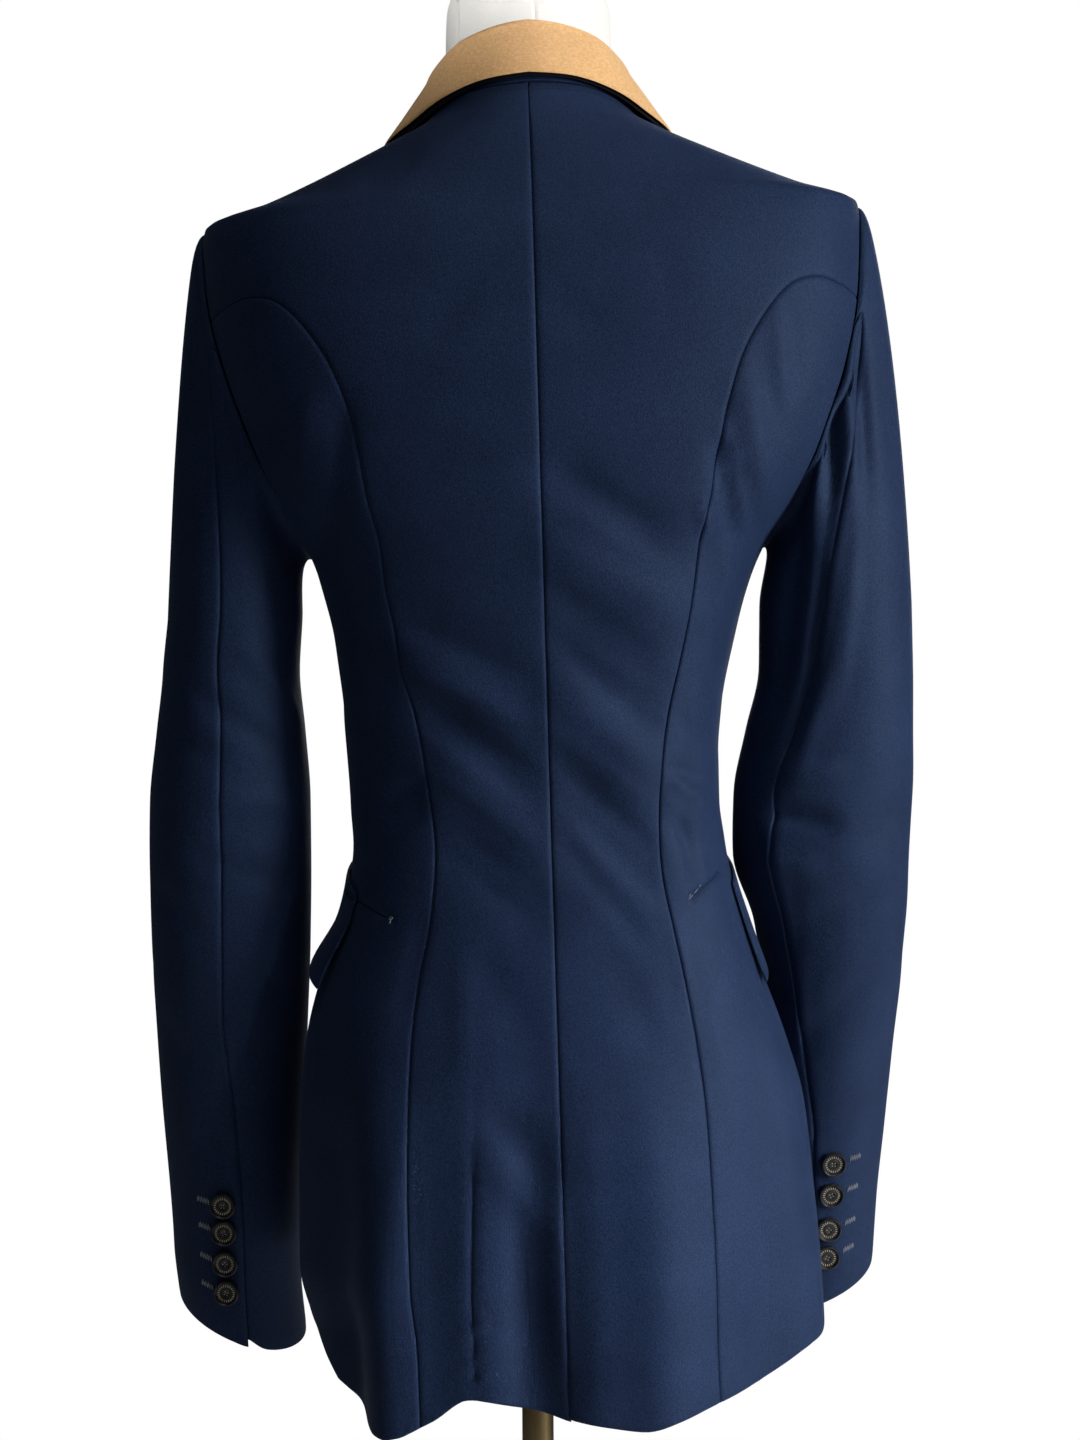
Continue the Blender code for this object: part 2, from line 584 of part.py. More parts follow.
def make_body_panels():
    """Backs, side panels, fronts, pocket flaps and lapels, left and right."""
    top = by_width(LAPEL_TOP, front=True)
    edge = by_width(LAPEL_EDGE, front=True)
    lapel_line = resample(np.vstack((top, edge)), PANEL_STEP * 0.8)
    for hand, mirrored in (("left", False), ("right", True)):
        flap = by_turn(FLAP_CORNERS[hand])
        flap_lines = [resample(np.vstack((flap, flap[:1])), PANEL_STEP * 0.8)]
        s = seams(hand)
        back = outline(s["centre"], s["hem_back"], s["princess"][::-1], s["arm_back"][::-1],
                       s["shoulder"][::-1], s["neck_back"][::-1])
        side = outline(s["princess"], s["hem_side"], s["front"][::-1], s["arm_side"][::-1])
        front = outline(s["front"], s["opening"][::-1], s["neck_front"][::-1], s["shoulder"],
                        s["arm_front"][::-1])
        roll = s["opening"]
        first = roll[np.argmin(np.linalg.norm(roll - top[0], axis=1))]
        last = roll[np.argmin(np.linalg.norm(roll - edge[-1], axis=1))]
        lapel_loop = np.vstack((first, lapel_line, last, last + (60, 0), first + (60, 0)))
        panel("back_" + hand, back, mirrored)
        side_sheet = panel("side_" + hand, side, mirrored, inner_lines=flap_lines)
        front_sheet = panel("front_" + hand, front, mirrored, lap=mirrored,
                            inner_lines=[np.vstack((first, lapel_line, last))[1:-1]])

        def stand(places):
            level = np.interp(places[:, 0], flap[:2, 0], flap[:2, 1])
            return FLAP_STAND[hand] * np.clip((level - places[:, 1]) / FLAP_HEIGHT, 0, 1) ** 1.4

        layer("pocket_flap_" + hand, side_sheet, faces_within(side_sheet, flap), FLAP_GAP,
              FLAP_WALL, "navy", stand=stand)
        layer("lapel_" + hand, front_sheet, faces_within(front_sheet, lapel_loop), LAPEL_GAP,
              LAPEL_WALL, "navy")


def sleeve_point(hand, turn, z, slant=1.0):
    """A point of the sleeve's tube, by its turn from the outside towards the back."""
    side = 1.0 if hand == "left" else -1.0
    tube = columns_of(SLEEVES[hand], SLEEVE_COLUMNS)
    x = tube["x"](z) + tube["half_x"](z) * np.cos(turn)
    y = tube["y"](z) + tube["half_y"](z) * np.sin(turn)
    top, end = SLEEVES[hand][0][0], SLEEVES[hand][-1][0]
    share = np.clip((top - z) / (top - end), 0, 1) ** 3 * slant
    level = z + share * (CUFF_RISE[hand] * np.cos(turn) - CUFF_DROP[hand] * np.sin(turn))
    return np.stack((side * x, y, level), axis=-1)


def sleeve_turns(hand, z, count, detail=1):
    """The turns of a ring's points at a level, with both seams on points of their own."""
    tube = columns_of(SLEEVES[hand], SLEEVE_COLUMNS)
    keys = (0, HINDARM_ROW * detail, count // 2, count - FOREARM_ROW * detail, count)
    turns = (0, float(tube["seam"](z)), 180, FOREARM_TURN, 360)
    return np.radians(np.interp(np.arange(count), keys, turns))


def sleeve_grid(hand, detail=1, head_steps=HEAD_STEPS, tube_steps=TUBE_STEPS):
    """Rings of points from the armhole to the cuff: an array of rings by points by xyz."""
    side = 1.0 if hand == "left" else -1.0
    hole = armhole_points(detail)
    count = len(hole)
    turn, z = unflat(hole)
    turn = turn * side
    start, normal = body(turn, z), normals_of(body, turn, z)
    along = np.roll(start, -1, axis=0) - np.roll(start, 1, axis=0)
    away = np.cross(normal, along) * side
    away = away / np.linalg.norm(away, axis=1, keepdims=True)
    away = away * np.sign(np.sum(away * (start.mean(axis=0) - start), axis=1, keepdims=True) + 1e-9)
    top_z = SLEEVES[hand][0][0]
    end = sleeve_point(hand, sleeve_turns(hand, top_z, count, detail), np.full(count, top_z))
    height = (start[:, 2] - end[:, 2])[:, None]
    low = ease_between(height[:, 0], 110, 30)[:, None]
    out = np.array((side, 0, 0.05))
    first = start + away * SEAM_GAP
    lead = first + out * (5 + 4 * (1 - low)) + away * 6 * low
    settle = end + np.array((0, 0, 1.0)) * (0.6 * height * (1 - low) + 12 * low)
    settle = settle - np.array((side, 0, 0)) * SLEEVE_HEAD_IN[hand] * (1 - low)
    rings = []
    for t in head_steps:
        rings.append(first * (1 - t) ** 3 + 3 * lead * t * (1 - t) ** 2
                     + 3 * settle * t * t * (1 - t) + end * t ** 3)
    for level in np.linspace(top_z, SLEEVES[hand][-1][0], tube_steps + 1):
        turns = sleeve_turns(hand, level, count, detail)
        rings.append(sleeve_point(hand, turns, np.full(count, level)))
    return np.array(rings)


def grid_normals(grid, side):
    """Normals of a grid that closes on itself round each ring."""
    around = np.roll(grid, -1, axis=1) - np.roll(grid, 1, axis=1)
    down = np.gradient(grid, axis=0)
    normal = np.cross(around, down) * -side
    return normal / np.linalg.norm(normal, axis=2, keepdims=True)


def sleeve_piece(name, grid, normal, first, last, side):
    """The columns from first to last of the sleeve's grid as one wall, drawn in at its seams."""
    count = grid.shape[1]
    columns = [i % count for i in range(first, last + 1)]
    part, facing = grid[:, columns].copy(), normal[:, columns]
    drawn_in = np.zeros_like(part)
    for edge, beside in ((0, 1), (-1, -2)):
        run = part[:, beside] - part[:, edge]
        seam = np.gradient(part[:, edge], axis=0)
        seam = seam / np.linalg.norm(seam, axis=1, keepdims=True)
        run = run - seam * np.sum(run * seam, axis=1, keepdims=True)
        run = run / np.linalg.norm(run, axis=1, keepdims=True)
        part[:, edge] += run * SEAM_GAP / 2
        drawn_in[:, edge] = run * SEAM_INNER_GAP
    rows, width = part.shape[:2]
    faces = []
    for r in range(rows - 1):
        for c in range(width - 1):
            a, b = r * width + c, r * width + c + 1
            face = (a, b, b + width, a + width)
            faces.append(face if side < 0 else face[::-1])
    inner = part + drawn_in - facing * WALL
    return wall(name, part.reshape(-1, 3), inner.reshape(-1, 3), faces, "navy")


def make_sleeves():
    """Each sleeve in two pieces that meet at the hindarm and the forearm seam."""
    for hand, side in (("left", 1.0), ("right", -1.0)):
        grid = sleeve_grid(hand)
        normal = grid_normals(grid, side)
        count = grid.shape[1]
        forearm, hindarm = count - FOREARM_ROW, HINDARM_ROW
        sleeve_piece("sleeve_top_" + hand, grid, normal, forearm, count + hindarm, side)
        sleeve_piece("sleeve_under_" + hand, grid, normal, hindarm, forearm, side)


def collar_sections(stations=COLLAR_STATIONS):
    """Foot, roll and edge of the collar for each station from the left end to the right."""
    rows = smooth_path(COLLAR, 8)
    run = np.linspace(0, len(rows) - 1, stations + 1)
    half = np.stack([np.interp(run, np.arange(len(rows)), rows[:, k]) for k in range(7)], axis=1)
    mirrored = half[:0:-1] * np.array((-1, 1, 1, 1, -1, 1, 1))
    return np.vstack((mirrored, half))[::-1]


def collar_path(row):
    """The middle line of the collar's section: up the stand, over the roll, down the fall."""
    foot_turn, foot_z, inward, up, edge_turn, edge_z, lift = row
    foot = body(math.radians(foot_turn), foot_z)
    edge_at = np.radians(edge_turn), np.asarray(edge_z, float)
    edge = body(*edge_at) + normals_of(body, *edge_at) * lift
    across = edge - foot
    flat_share = ease_between(abs(foot_turn), *COLLAR_LIES_FLAT)
    foot_normal = normals_of(body, np.radians(foot_turn), np.asarray(foot_z, float))
    upward = np.array((0, 0, 1.0)) * (1 - flat_share) + foot_normal * flat_share
    upward = upward / np.linalg.norm(upward)
    outward = foot * (1, 1, 0) / np.linalg.norm(foot[:2]) * (1 - flat_share)
    outward = outward + across / np.linalg.norm(across) * flat_share
    outward = outward - upward * (outward @ upward)
    outward = outward / np.linalg.norm(outward)
    reach, rise = float(across @ outward), float(across @ upward)
    sideways = across - outward * reach - upward * rise
    roll_h, roll_v, width = -inward, up, min(ROLL_HALF_WIDTH, up * 0.26)
    line = np.array((
        (-2.9, 1.4), (-2.9 + (roll_h - width + 2.9) * 0.55, 1.4 + (roll_v - width * 1.15 - 1.4) * 0.5),
        (roll_h - width, roll_v - width * 1.15), (roll_h - width * 0.62, roll_v - width * 0.30),
        (roll_h, roll_v), (roll_h + width * 0.62, roll_v - width * 0.34),
        (roll_h + width, roll_v - width * 1.2), (0, 0), (0, 0), (reach, rise)))
    for k, share, bulge in ((7, 0.36, 0.7), (8, 0.70, 0.5)):
        line[k] = line[6] * (1 - share) + line[9] * share + (bulge, bulge * 0.6)
    shift = np.array((0, 0, 0, 0, 0, 0.02, 0.08, 0.4, 0.72, 1.0))
    return line, shift, foot, outward, upward, sideways


def offset_line(line, distance):
    """A section's line moved towards the hollow of the roll."""
    run = np.gradient(line, axis=0)
    run = run / np.linalg.norm(run, axis=1, keepdims=True)
    return line + np.stack((run[:, 1], -run[:, 0]), axis=1) * distance


def collar_strip(name, centre_offset, thickness, extra, material):
    """A strip that follows the collar's section all the way round the neck."""
    sections = collar_sections()
    loops = []
    for row in sections:
        line, shift, foot, outward, upward, sideways = collar_path(row)
        middle = offset_line(line, centre_offset)
        end = middle[-1] - middle[-2]
        middle[-1] += end / np.linalg.norm(end) * extra
        if extra:
            middle[0] = middle[0] - (0, 1.0)
        both = (offset_line(middle, -thickness / 2), offset_line(middle, thickness / 2))
        made = [foot + outward * p[:, :1] + upward * p[:, 1:] + sideways * shift[:, None]
                for p in both]
        loops.append(np.vstack((made[0], made[1][::-1])))
    count = len(loops[0])
    faces = []
    for s in range(len(loops) - 1):
        for i in range(count):
            a, b = s * count + i, s * count + (i + 1) % count
            faces.append((a, b, b + count, a + count))
    half = count // 2
    for base, forward in ((0, False), ((len(loops) - 1) * count, True)):
        for i in range(half - 1):
            face = (base + i, base + i + 1, base + count - 2 - i, base + count - 1 - i)
            faces.append(face if forward else face[::-1])
    piece = build_object(name, world(np.vstack(loops)), faces, material)
    mesh = bmesh.new()
    mesh.from_mesh(piece.data)
    bmesh.ops.recalc_face_normals(mesh, faces=mesh.faces)
    mesh.to_mesh(piece.data)
    mesh.free()
    return piece


def make_collar():
    collar_strip("collar", 0.0, COLLAR_WALL, 0.0, "camel")
    collar_strip("undercollar", UNDERCOLLAR_INSET, UNDERCOLLAR_WALL, UNDERCOLLAR_SHOWS, "undercollar")


def turned(name, profile, material, sides=32):
    """A turned piece: its profile runs down the outside, in millimetres, about its own Z."""
    mesh = bpy.data.meshes.new(name)
    mesh.from_pydata([(r * MM, 0, z * MM) for r, z in profile], [],
                     [(i, i + 1) for i in range(len(profile) - 1)])
    mesh.materials.append(materials[material])
    piece = bpy.data.objects.new(name, mesh)
    collection.objects.link(piece)
    screw = piece.modifiers.new("turn", "SCREW")
    screw.steps = screw.render_steps = sides
    screw.use_merge_vertices = True
    screw.merge_threshold = 0.00001
    screw.use_smooth_shade = False
    screw.use_normal_flip = True
    return piece


def button(name, size, point, normal):
    """A round button with a raised rim, its back just off the cloth."""
    r, t = size["radius"], size["thickness"]
    profile = ((0, t * 0.74), (r * 0.66, t * 0.74), (r * 0.76, t), (r, t * 0.72), (r * 0.88, 0), (0, 0))
    piece = turned(name, profile, "button", 14)
    normal = Vector(normal).normalized()
    piece.rotation_mode = "QUATERNION"
    piece.rotation_quaternion = normal.to_track_quat("Z", "Y")
    piece.location = Vector(point) + normal * BUTTON_CLEARANCE * MM
    return piece


def surface_frame(surface, u, v, step_u, step_v):
    """A world point and outward-facing axis of a surface of two parameters."""
    point = world(surface(u, v))
    along = world(surface(u + step_u, v)) - world(surface(u - step_u, v))
    up = world(surface(u, v + step_v)) - world(surface(u, v - step_v))
    return point, np.cross(along, up)


def make_buttons():
    """Four on each cuff and three down the front."""
    for hand, side in (("left", 1.0), ("right", -1.0)):
        for number, level in enumerate(CUFF_BUTTON_LEVELS[hand], start=1):
            def tube(turn, z):
                return sleeve_point(hand, turn, np.asarray(z, float))
            turn = math.radians(CUFF_BUTTON_TURN)
            point, normal = surface_frame(tube, turn, level, 0.01, 1.0)
            button("cuff_button_%s_%d" % (hand, number), CUFF_BUTTON, point, normal * side)
    for number, level in enumerate(FRONT_BUTTON_LEVELS, start=1):
        at = math.radians(-180.0)
        place, facing = body(at, level), normals_of(body, np.asarray(at), np.asarray(float(level)))
        point = world(place + facing * LAP_LIFT)
        button("front_button_%d" % number, FRONT_BUTTON, point, facing)


FORM = columns_of(FORM_EASE, FORM_EASE_COLUMNS)


def form_ring(z):
    """One section of the form's body in the coat's levels, even about its own upright axis."""
    turn = np.linspace(0, 2 * math.pi, FORM_SIDES, endpoint=False)
    left, right = BODY["left"](z) + LEAN * z, BODY["right"](z) - LEAN * z
    middle, square = BODY["middle"](z) * 0.7, BODY["square"](z)
    half = min(float(left), float(right)) - WALL - FORM["side"](z)
    cosine, sine = np.cos(turn), np.sin(turn)
    depth = np.where(cosine > 0, BODY["back"](z) - middle, BODY["front"](z) + middle)
    depth = depth - WALL - FORM["depth"](z)
    x = half * sine * (1 + square * cosine ** 2)
    y = middle + depth * cosine * (1 + square * sine ** 2)
    return np.stack((x, y, z + 0 * x), axis=-1)


def loft(name, rings, material):
    """A closed solid through rings of the same count, capped at both ends, top ring first."""
    count = len(rings[0])
    faces = []
    for s in range(len(rings) - 1):
        for i in range(count):
            a, b = s * count + i, s * count + (i + 1) % count
            faces.append((a, b, b + count, a + count))
    faces.append(tuple(reversed(range(count))))
    faces.append(tuple(range((len(rings) - 1) * count, len(rings) * count)))
    piece = build_object(name, np.vstack(rings) * MM, faces, material)
    mesh = bmesh.new()
    mesh.from_mesh(piece.data)
    bmesh.ops.recalc_face_normals(mesh, faces=mesh.faces)
    mesh.to_mesh(piece.data)
    mesh.free()
    return piece


def make_form():
    """The stuffed form in one cover with its neck, its neck cap and the plate under it."""
    neck = []
    for z, half_x, half_y, forward in reversed(NECK):
        turn = np.linspace(0, 2 * math.pi, FORM_SIDES, endpoint=False)
        neck.append(np.stack((half_x * np.sin(turn), half_y * np.cos(turn) - forward,
                              z + 0 * turn), axis=-1))
    levels = [row[0] for row in FORM_EASE if FORM_TOP >= row[0]]
    levels = sorted(set(levels + [row[0] for row in TORSO if FORM_TOP >= row[0] > -70]), reverse=True)
    drops = [(0, 0, -(WALL + FORM_DROP) * (z > FORM_DROP_ENDS)) for z in levels]
    rings = neck + [form_ring(float(z)) + drop for z, drop in zip(levels, drops)]
    shaped = []
    for ring in rings:
        tilt = TILT * np.clip(1 - ring[:, 2] / TILT_FADES_AT, 0, 1)
        tilt = tilt * ease_between(-ring[:, 2], -6, 10) * (1 - ease_between(-ring[:, 2], 150, 400))
        shaped.append(ring + np.stack((0 * tilt, 0 * tilt, NAPE_HEIGHT - tilt * ring[:, 0]), axis=-1))
    loft("form_torso", shaped, "form_cloth")
    z, _, _, forward = NECK[-1]
    radius, thick = NECK_CAP["radius"], NECK_CAP["thickness"]
    profile = ((0, thick), (radius - 3, thick), (radius, thick - 3), (radius, 0), (0, 0))
    cap = turned("form_neck_cap", profile, "form_cloth")
    cap.location = (0, -forward * MM, (NAPE_HEIGHT + z + SEAM_GAP) * MM)


def make_stand():
    """The pole with its collar, the plate under the form and the round base on the floor."""
    foot = NAPE_HEIGHT + FORM_FOOT
    plate, hub = FORM_PLATE, BASE_HUB
    plate_low = foot - SEAM_GAP - plate["thickness"]
    piece = turned("form_plate", ((0, plate["thickness"]), (plate["radius"], plate["thickness"]),
                                  (plate["radius"], 0), (0, 0)), "metal")
    piece.location.z = plate_low * MM
    sleeve_low = plate_low - SEAM_GAP - POLE_SLEEVE["length"]
    profile = ((0, POLE_SLEEVE["length"]), (POLE_SLEEVE["radius"], POLE_SLEEVE["length"]),
               (POLE_SLEEVE["radius"], 0), (0, 0))
    turned("pole_sleeve", profile, "metal").location.z = sleeve_low * MM
    hub_top = BASE_THICKNESS + hub["height"]
    length = sleeve_low - SEAM_GAP - (hub_top + SEAM_GAP)
    pole = turned("pole", ((0, length), (POLE_RADIUS, length), (POLE_RADIUS, 0), (0, 0)), "metal")
    pole.location.z = (hub_top + SEAM_GAP) * MM
    turned("base", ((0, hub_top), (hub["radius"] * 0.62, hub_top), (hub["radius"] * 0.7, hub_top - 3),
                    (hub["radius"], BASE_THICKNESS + 5), (hub["radius"] + 8, BASE_THICKNESS),
                    (BASE_RADIUS - 3, BASE_THICKNESS), (BASE_RADIUS, BASE_THICKNESS - 3),
                    (BASE_RADIUS, 0), (0, 0)), "base", 48)


def make_material(name, red, green, blue, roughness, metallic):
    material = bpy.data.materials.new(name)
    material.use_nodes = True
    shader = material.node_tree.nodes["Principled BSDF"]
    shader.inputs["Base Color"].default_value = (red, green, blue, 1)
    shader.inputs["Roughness"].default_value = roughness
    shader.inputs["Metallic"].default_value = metallic
    return material


for old in list(bpy.data.objects):
    bpy.data.objects.remove(old)
collection = bpy.data.collections.new("show_coat_on_form")
bpy.context.scene.collection.children.link(collection)
materials = {name: make_material(name, *values) for name, values in COLOURS.items()}

make_body_panels()
make_sleeves()
make_collar()
make_buttons()
make_form()
make_stand()
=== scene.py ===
"""The look of an equestrian show coat on its dress form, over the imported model.

The tables and the functions of shape are those of the part itself, in millimetres, in the coat's
own frame: x to the wearer's left, y to the back, z up from the nape.
"""
import math

import bpy
import bmesh
import numpy as np
from mathutils import Matrix, Vector
from mathutils.geometry import delaunay_2d_cdt

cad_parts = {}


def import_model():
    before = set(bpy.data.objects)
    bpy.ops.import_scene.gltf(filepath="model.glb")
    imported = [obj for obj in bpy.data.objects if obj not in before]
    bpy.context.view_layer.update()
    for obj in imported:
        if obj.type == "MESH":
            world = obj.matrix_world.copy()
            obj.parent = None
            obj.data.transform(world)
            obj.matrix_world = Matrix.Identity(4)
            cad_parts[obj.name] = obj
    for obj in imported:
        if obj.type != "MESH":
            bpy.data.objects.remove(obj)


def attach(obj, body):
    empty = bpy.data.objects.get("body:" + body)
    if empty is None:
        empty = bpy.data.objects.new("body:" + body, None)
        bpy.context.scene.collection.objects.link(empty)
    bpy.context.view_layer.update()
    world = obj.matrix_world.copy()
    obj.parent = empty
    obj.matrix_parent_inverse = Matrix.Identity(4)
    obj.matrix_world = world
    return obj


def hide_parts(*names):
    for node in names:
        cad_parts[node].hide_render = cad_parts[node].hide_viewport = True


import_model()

# Driving dimensions, in millimetres, and the metres in a millimetre
MM = 0.001
NAPE_HEIGHT = 1370.0
SIDES = {"left": 1.0, "right": -1.0}
WALL = 2.0
SEAM_GAP = 0.3
LEAN = 0.0234
TILT = 0.040
TILT_FADES_AT = -500.0
PLANE_RADIUS = 120.0
SHOULDER_LEVEL = -80.0
SHOULDER_STRETCH = 2.2

# The coat's body, a section for each level: half-width at the wearer's left and right, depth of
# the back and the front, how far back the middle of the section lies, and how square it is
TORSO_COLUMNS = ("z", "left", "right", "back", "front", "middle", "square")
TORSO = (
    (6, 48, 48, 54, 44, 0, 0.00),
    (-11, 61, 61, 61, 52, 0, 0.02),
    (-22, 82, 80, 66, 57, 0, 0.04),
    (-34, 107, 106, 72, 63, 0, 0.06),
    (-46, 133, 133.5, 77, 69, 0, 0.08),
    (-57, 159.5, 160.5, 81, 74, 0, 0.10),
    (-66, 187, 186, 84, 79, 0, 0.12),
    (-78, 189, 187, 89, 85, 0, 0.13),
    (-100, 189, 187, 95, 94, 0, 0.14),
    (-128, 187, 186, 99, 104, 0, 0.15),
    (-160, 181, 181, 102, 114, 0, 0.16),
    (-200, 167, 166, 102, 125, 0, 0.17),
    (-230, 149, 147, 99, 130, 0, 0.18),
    (-257, 132, 126, 95, 131, 0, 0.18),
    (-280, 125, 116, 92, 128, 0, 0.18),
    (-304, 120, 109, 88, 124, 0, 0.18),
    (-340, 117, 101, 82, 115, 0, 0.18),
    (-372, 115, 97, 79, 108, 0, 0.18),
    (-400, 114, 97, 78, 105, 0, 0.18),
    (-420, 113, 99, 79, 104, 0, 0.18),
    (-440, 115, 102, 82, 105, 2, 0.18),
    (-463, 119, 108, 85, 107, 4, 0.16),
    (-490, 131, 116, 90, 109, 7, 0.13),
    (-531, 142, 130, 99, 111, 11, 0.09),
    (-566, 146, 139, 107, 112, 14, 0.06),
    (-610, 147, 143, 113, 114, 15, 0.05),
    (-655, 147, 146, 118, 116, 15, 0.05),
    (-690, 139, 147, 121, 117, 15, 0.05),
    (-745, 135, 148, 124, 118, 15, 0.05),
)

# The skirt's flutes: the turn of each from the centre back, its width and its depth at the hem.
# Columns: turn, width, depth
FLUTES = (
    (41, 9, 11), (6.5, 7, -10), (-6, 5, 3), (-19, 10, 10), (-46, 9, -5), (-66, 9, 5),
    (58, 8, -6), (78, 9, 4), (100, 10, -4), (120, 10, 6), (148, 10, -4),
    (-92, 9, -3), (-120, 10, 6), (-146, 10, -4),
)
FLUTES_START = -470.0
FLUTES_FULL = -720.0

# Soft folds across the back: both ends, the width across and the depth, + standing out.
# Columns: x1, z1, x2, z2, width, depth
FOLDS = (
    (2, -215, -72, -262, 15, -2.9), (4, -255, -78, -300, 15, 3.2),
    (-2, -298, -66, -348, 15, -3.0), (2, -335, -62, -385, 14, 3.4),
    (-2, -376, -60, -450, 15, -3.2), (84, -290, 6, -336, 15, -2.9),
    (82, -312, 4, -362, 14, 3.2), (74, -334, 2, -402, 15, -3.2),
    (66, -372, 2, -436, 15, 3.4), (58, -404, 0, -470, 15, -2.8),
    (-64, -395, -88, -405, 8, 2.4), (-72, -405, -90, -440, 8, -2.4),
    (70, -390, 96, -402, 9, -2.2), (104, -170, 122, -262, 9, -2.8),
    (-112, -170, -124, -240, 9, 2.6), (-98, -205, -104, -260, 8, -2.4),
)

# The armhole, a level for each row, with the depth of its back and its front edge
ARMHOLE = (
    (-66, 0, 0), (-71, 9, -8), (-84, 18, -17), (-102, 25.5, -25), (-122, 32, -31.5),
    (-140, 38.5, -38), (-160, 43.5, -44.5), (-182, 46.5, -50), (-204, 45.5, -52.5),
    (-225, 39, -47), (-243, 27, -34), (-254, 12, -16), (-257, 0, 0),
)
PRINCESS_ROW = 4
HINDARM_ROW = 5
FRONT_SEAM_ROW = 9
FOREARM_ROW = 5

# Seams and edges as points on the cloth, (x, z), from the top down
BACK_PRINCESS = (
    (166, -116), (154.5, -114.5), (139.5, -119.7), (123, -138), (108, -166), (98, -203),
    (91, -240), (84, -280), (77, -318), (69.5, -350), (64.5, -378), (62, -404), (62.5, -438),
    (66.5, -466), (72.5, -496), (77, -526), (80, -565), (81, -615), (80.5, -665), (79, -700),
)
# The level at which the princess seam meets the hem, for the turn of its foot
PRINCESS_FOOT = (BACK_PRINCESS[-1][0], -720.0)
FRONT_ROLL = ((60, -18), (54, -50), (46, -90), (37, -130), (26, -175), (14, -220), (2, -250))
LAPEL_TOP = ((56, -66), (66, -72), (78, -70), (101, -84))
LAPEL_EDGE = ((98, -120), (86, -165), (63, -210), (36, -240), (14, -252))

# Seams and edges by their turn from the centre back, in degrees, and z
NECK_LINE = ((0, 0), (24, -0.6), (48, -2.6), (68, -5.5), (90, -9), (112, -13), (127, -18))
FRONT_SEAM = ((115, -262), (118, -320), (124, -395), (130, -440), (132, -500), (132, -580))
HEM = {
    "left": (
        (0, -722), (9, -716.2), (21, -711.4), (30, -724), (41, -735), (50, -731), (58, -722.5),
        (67, -714), (71, -704), (75, -690), (82, -678), (95, -671), (112, -666), (132, -660),
    ),
    "right": (
        (0, -721), (7, -723.5), (15, -726), (22, -722), (30, -717), (46, -708.5), (54, -701.5),
        (62, -694), (74, -687.5), (82, -680), (95, -670), (112, -665), (132, -660),
    ),
}
FRONT_HEM = ((140, -653), (150, -634), (160, -598), (169, -550), (178, -495), (185, -450))
FRONT_EDGE = ((187, -420), (187, -350), (187, -290), (184, -262))

# The right front laps over the left one, which stays on the body's surface. The lapels' outlines
# reach past the fronts' edges
LAP_LIFT = 3.8
LAP_FROM = 158.0
LAP_FULL = 170.0
LAP_TOP = (-130.0, -200.0)
LAPEL_GAP = 0.4
LAPEL_WALL = 1.8
LAPEL_REACH = (60, 0)

# Pocket flaps: their corners (turn, z), and how far the lower edge stands off
FLAP_CORNERS = {
    "left": ((66, -447), (126, -419), (127, -474), (67, -503)),
    "right": ((71, -445), (126, -419), (127, -474), (72, -500)),
}
FLAP_HEIGHT = 55.0
FLAP_GAP = 0.5
FLAP_WALL = 2.0
FLAP_STAND = {"left": 5.5, "right": 1.5}

# The sleeves, a section for each level: its middle, half-sizes and the turn of the hindarm seam
SLEEVE_COLUMNS = ("z", "x", "half_x", "y", "half_y", "seam")
SLEEVES = {
    "left": (
        (-290, 176.5, 38.5, 2, 42, 84), (-320, 180, 39, 0, 41, 85), (-355, 181.5, 42.5, -2, 40, 88),
        (-395, 183.5, 46, -5, 39, 88), (-440, 185.5, 46.5, -11, 39, 89),
        (-480, 187.5, 46, -20, 40, 89), (-515, 189, 44.5, -28, 41, 89),
        (-575, 191.5, 41.5, -40, 41, 98), (-630, 193, 38, -48, 41, 103),
        (-668, 193, 37, -51, 41, 103), (-700, 191, 37, -54, 41, 101),
    ),
    "right": (
        (-290, 166.5, 43.5, 2, 43, 104), (-325, 166, 44, 0, 42, 113),
        (-360, 161.5, 48, -3, 41, 119), (-395, 157.5, 51.5, -8, 40, 127),
        (-430, 156, 51, -15, 40, 128), (-470, 162, 44.5, -32, 41, 132),
        (-510, 163.5, 40.5, -50, 42, 127), (-550, 162, 38.5, -66, 42, 117),
        (-600, 159, 37, -80, 42, 105), (-650, 155, 36, -90, 42, 103), (-691, 152, 36, -95, 42, 103),
    ),
}
# The sleeve's hem is not level: how far it rises at the outside and drops at the back
CUFF_RISE = {"left": 14.0, "right": 13.0}
CUFF_DROP = {"left": 11.0, "right": 9.0}
FOREARM_TURN = 292.0
SLEEVE_HEAD_IN = {"left": 9.0, "right": 2.0}

# The collar, a section for each row: where its foot stands on the neck line, how far its roll
# lies in and up from there, and where its outer edge lies and how far off the cloth.
# Columns: foot, foot_z, inward, up, edge, edge_z, lift
COLLAR = (
    (0, 0, 11, 36.5, 0, 2, 7), (24, -0.6, 10, 35, 26, 0, 6.4), (48, -2.6, 5.8, 31.5, 49, -5, 6),
    (68, -5.5, 4.4, 27, 69, -11, 5.8), (90, -9, 3.6, 23.5, 90, -19.5, 5.4),
    (112, -13, 3.4, 19, 112, -25.5, 5.2), (137, -20, 4, 16, 131, -31.5, 5),
    (156.5, -37, 1, 14, 147, -47, 5), (165.5, -57, 0, 13, 156, -62, 5),
)
COLLAR_STATIONS = 150
ROLL_HALF_WIDTH = 4.2
COLLAR_LIES_FLAT = (105.0, 150.0)

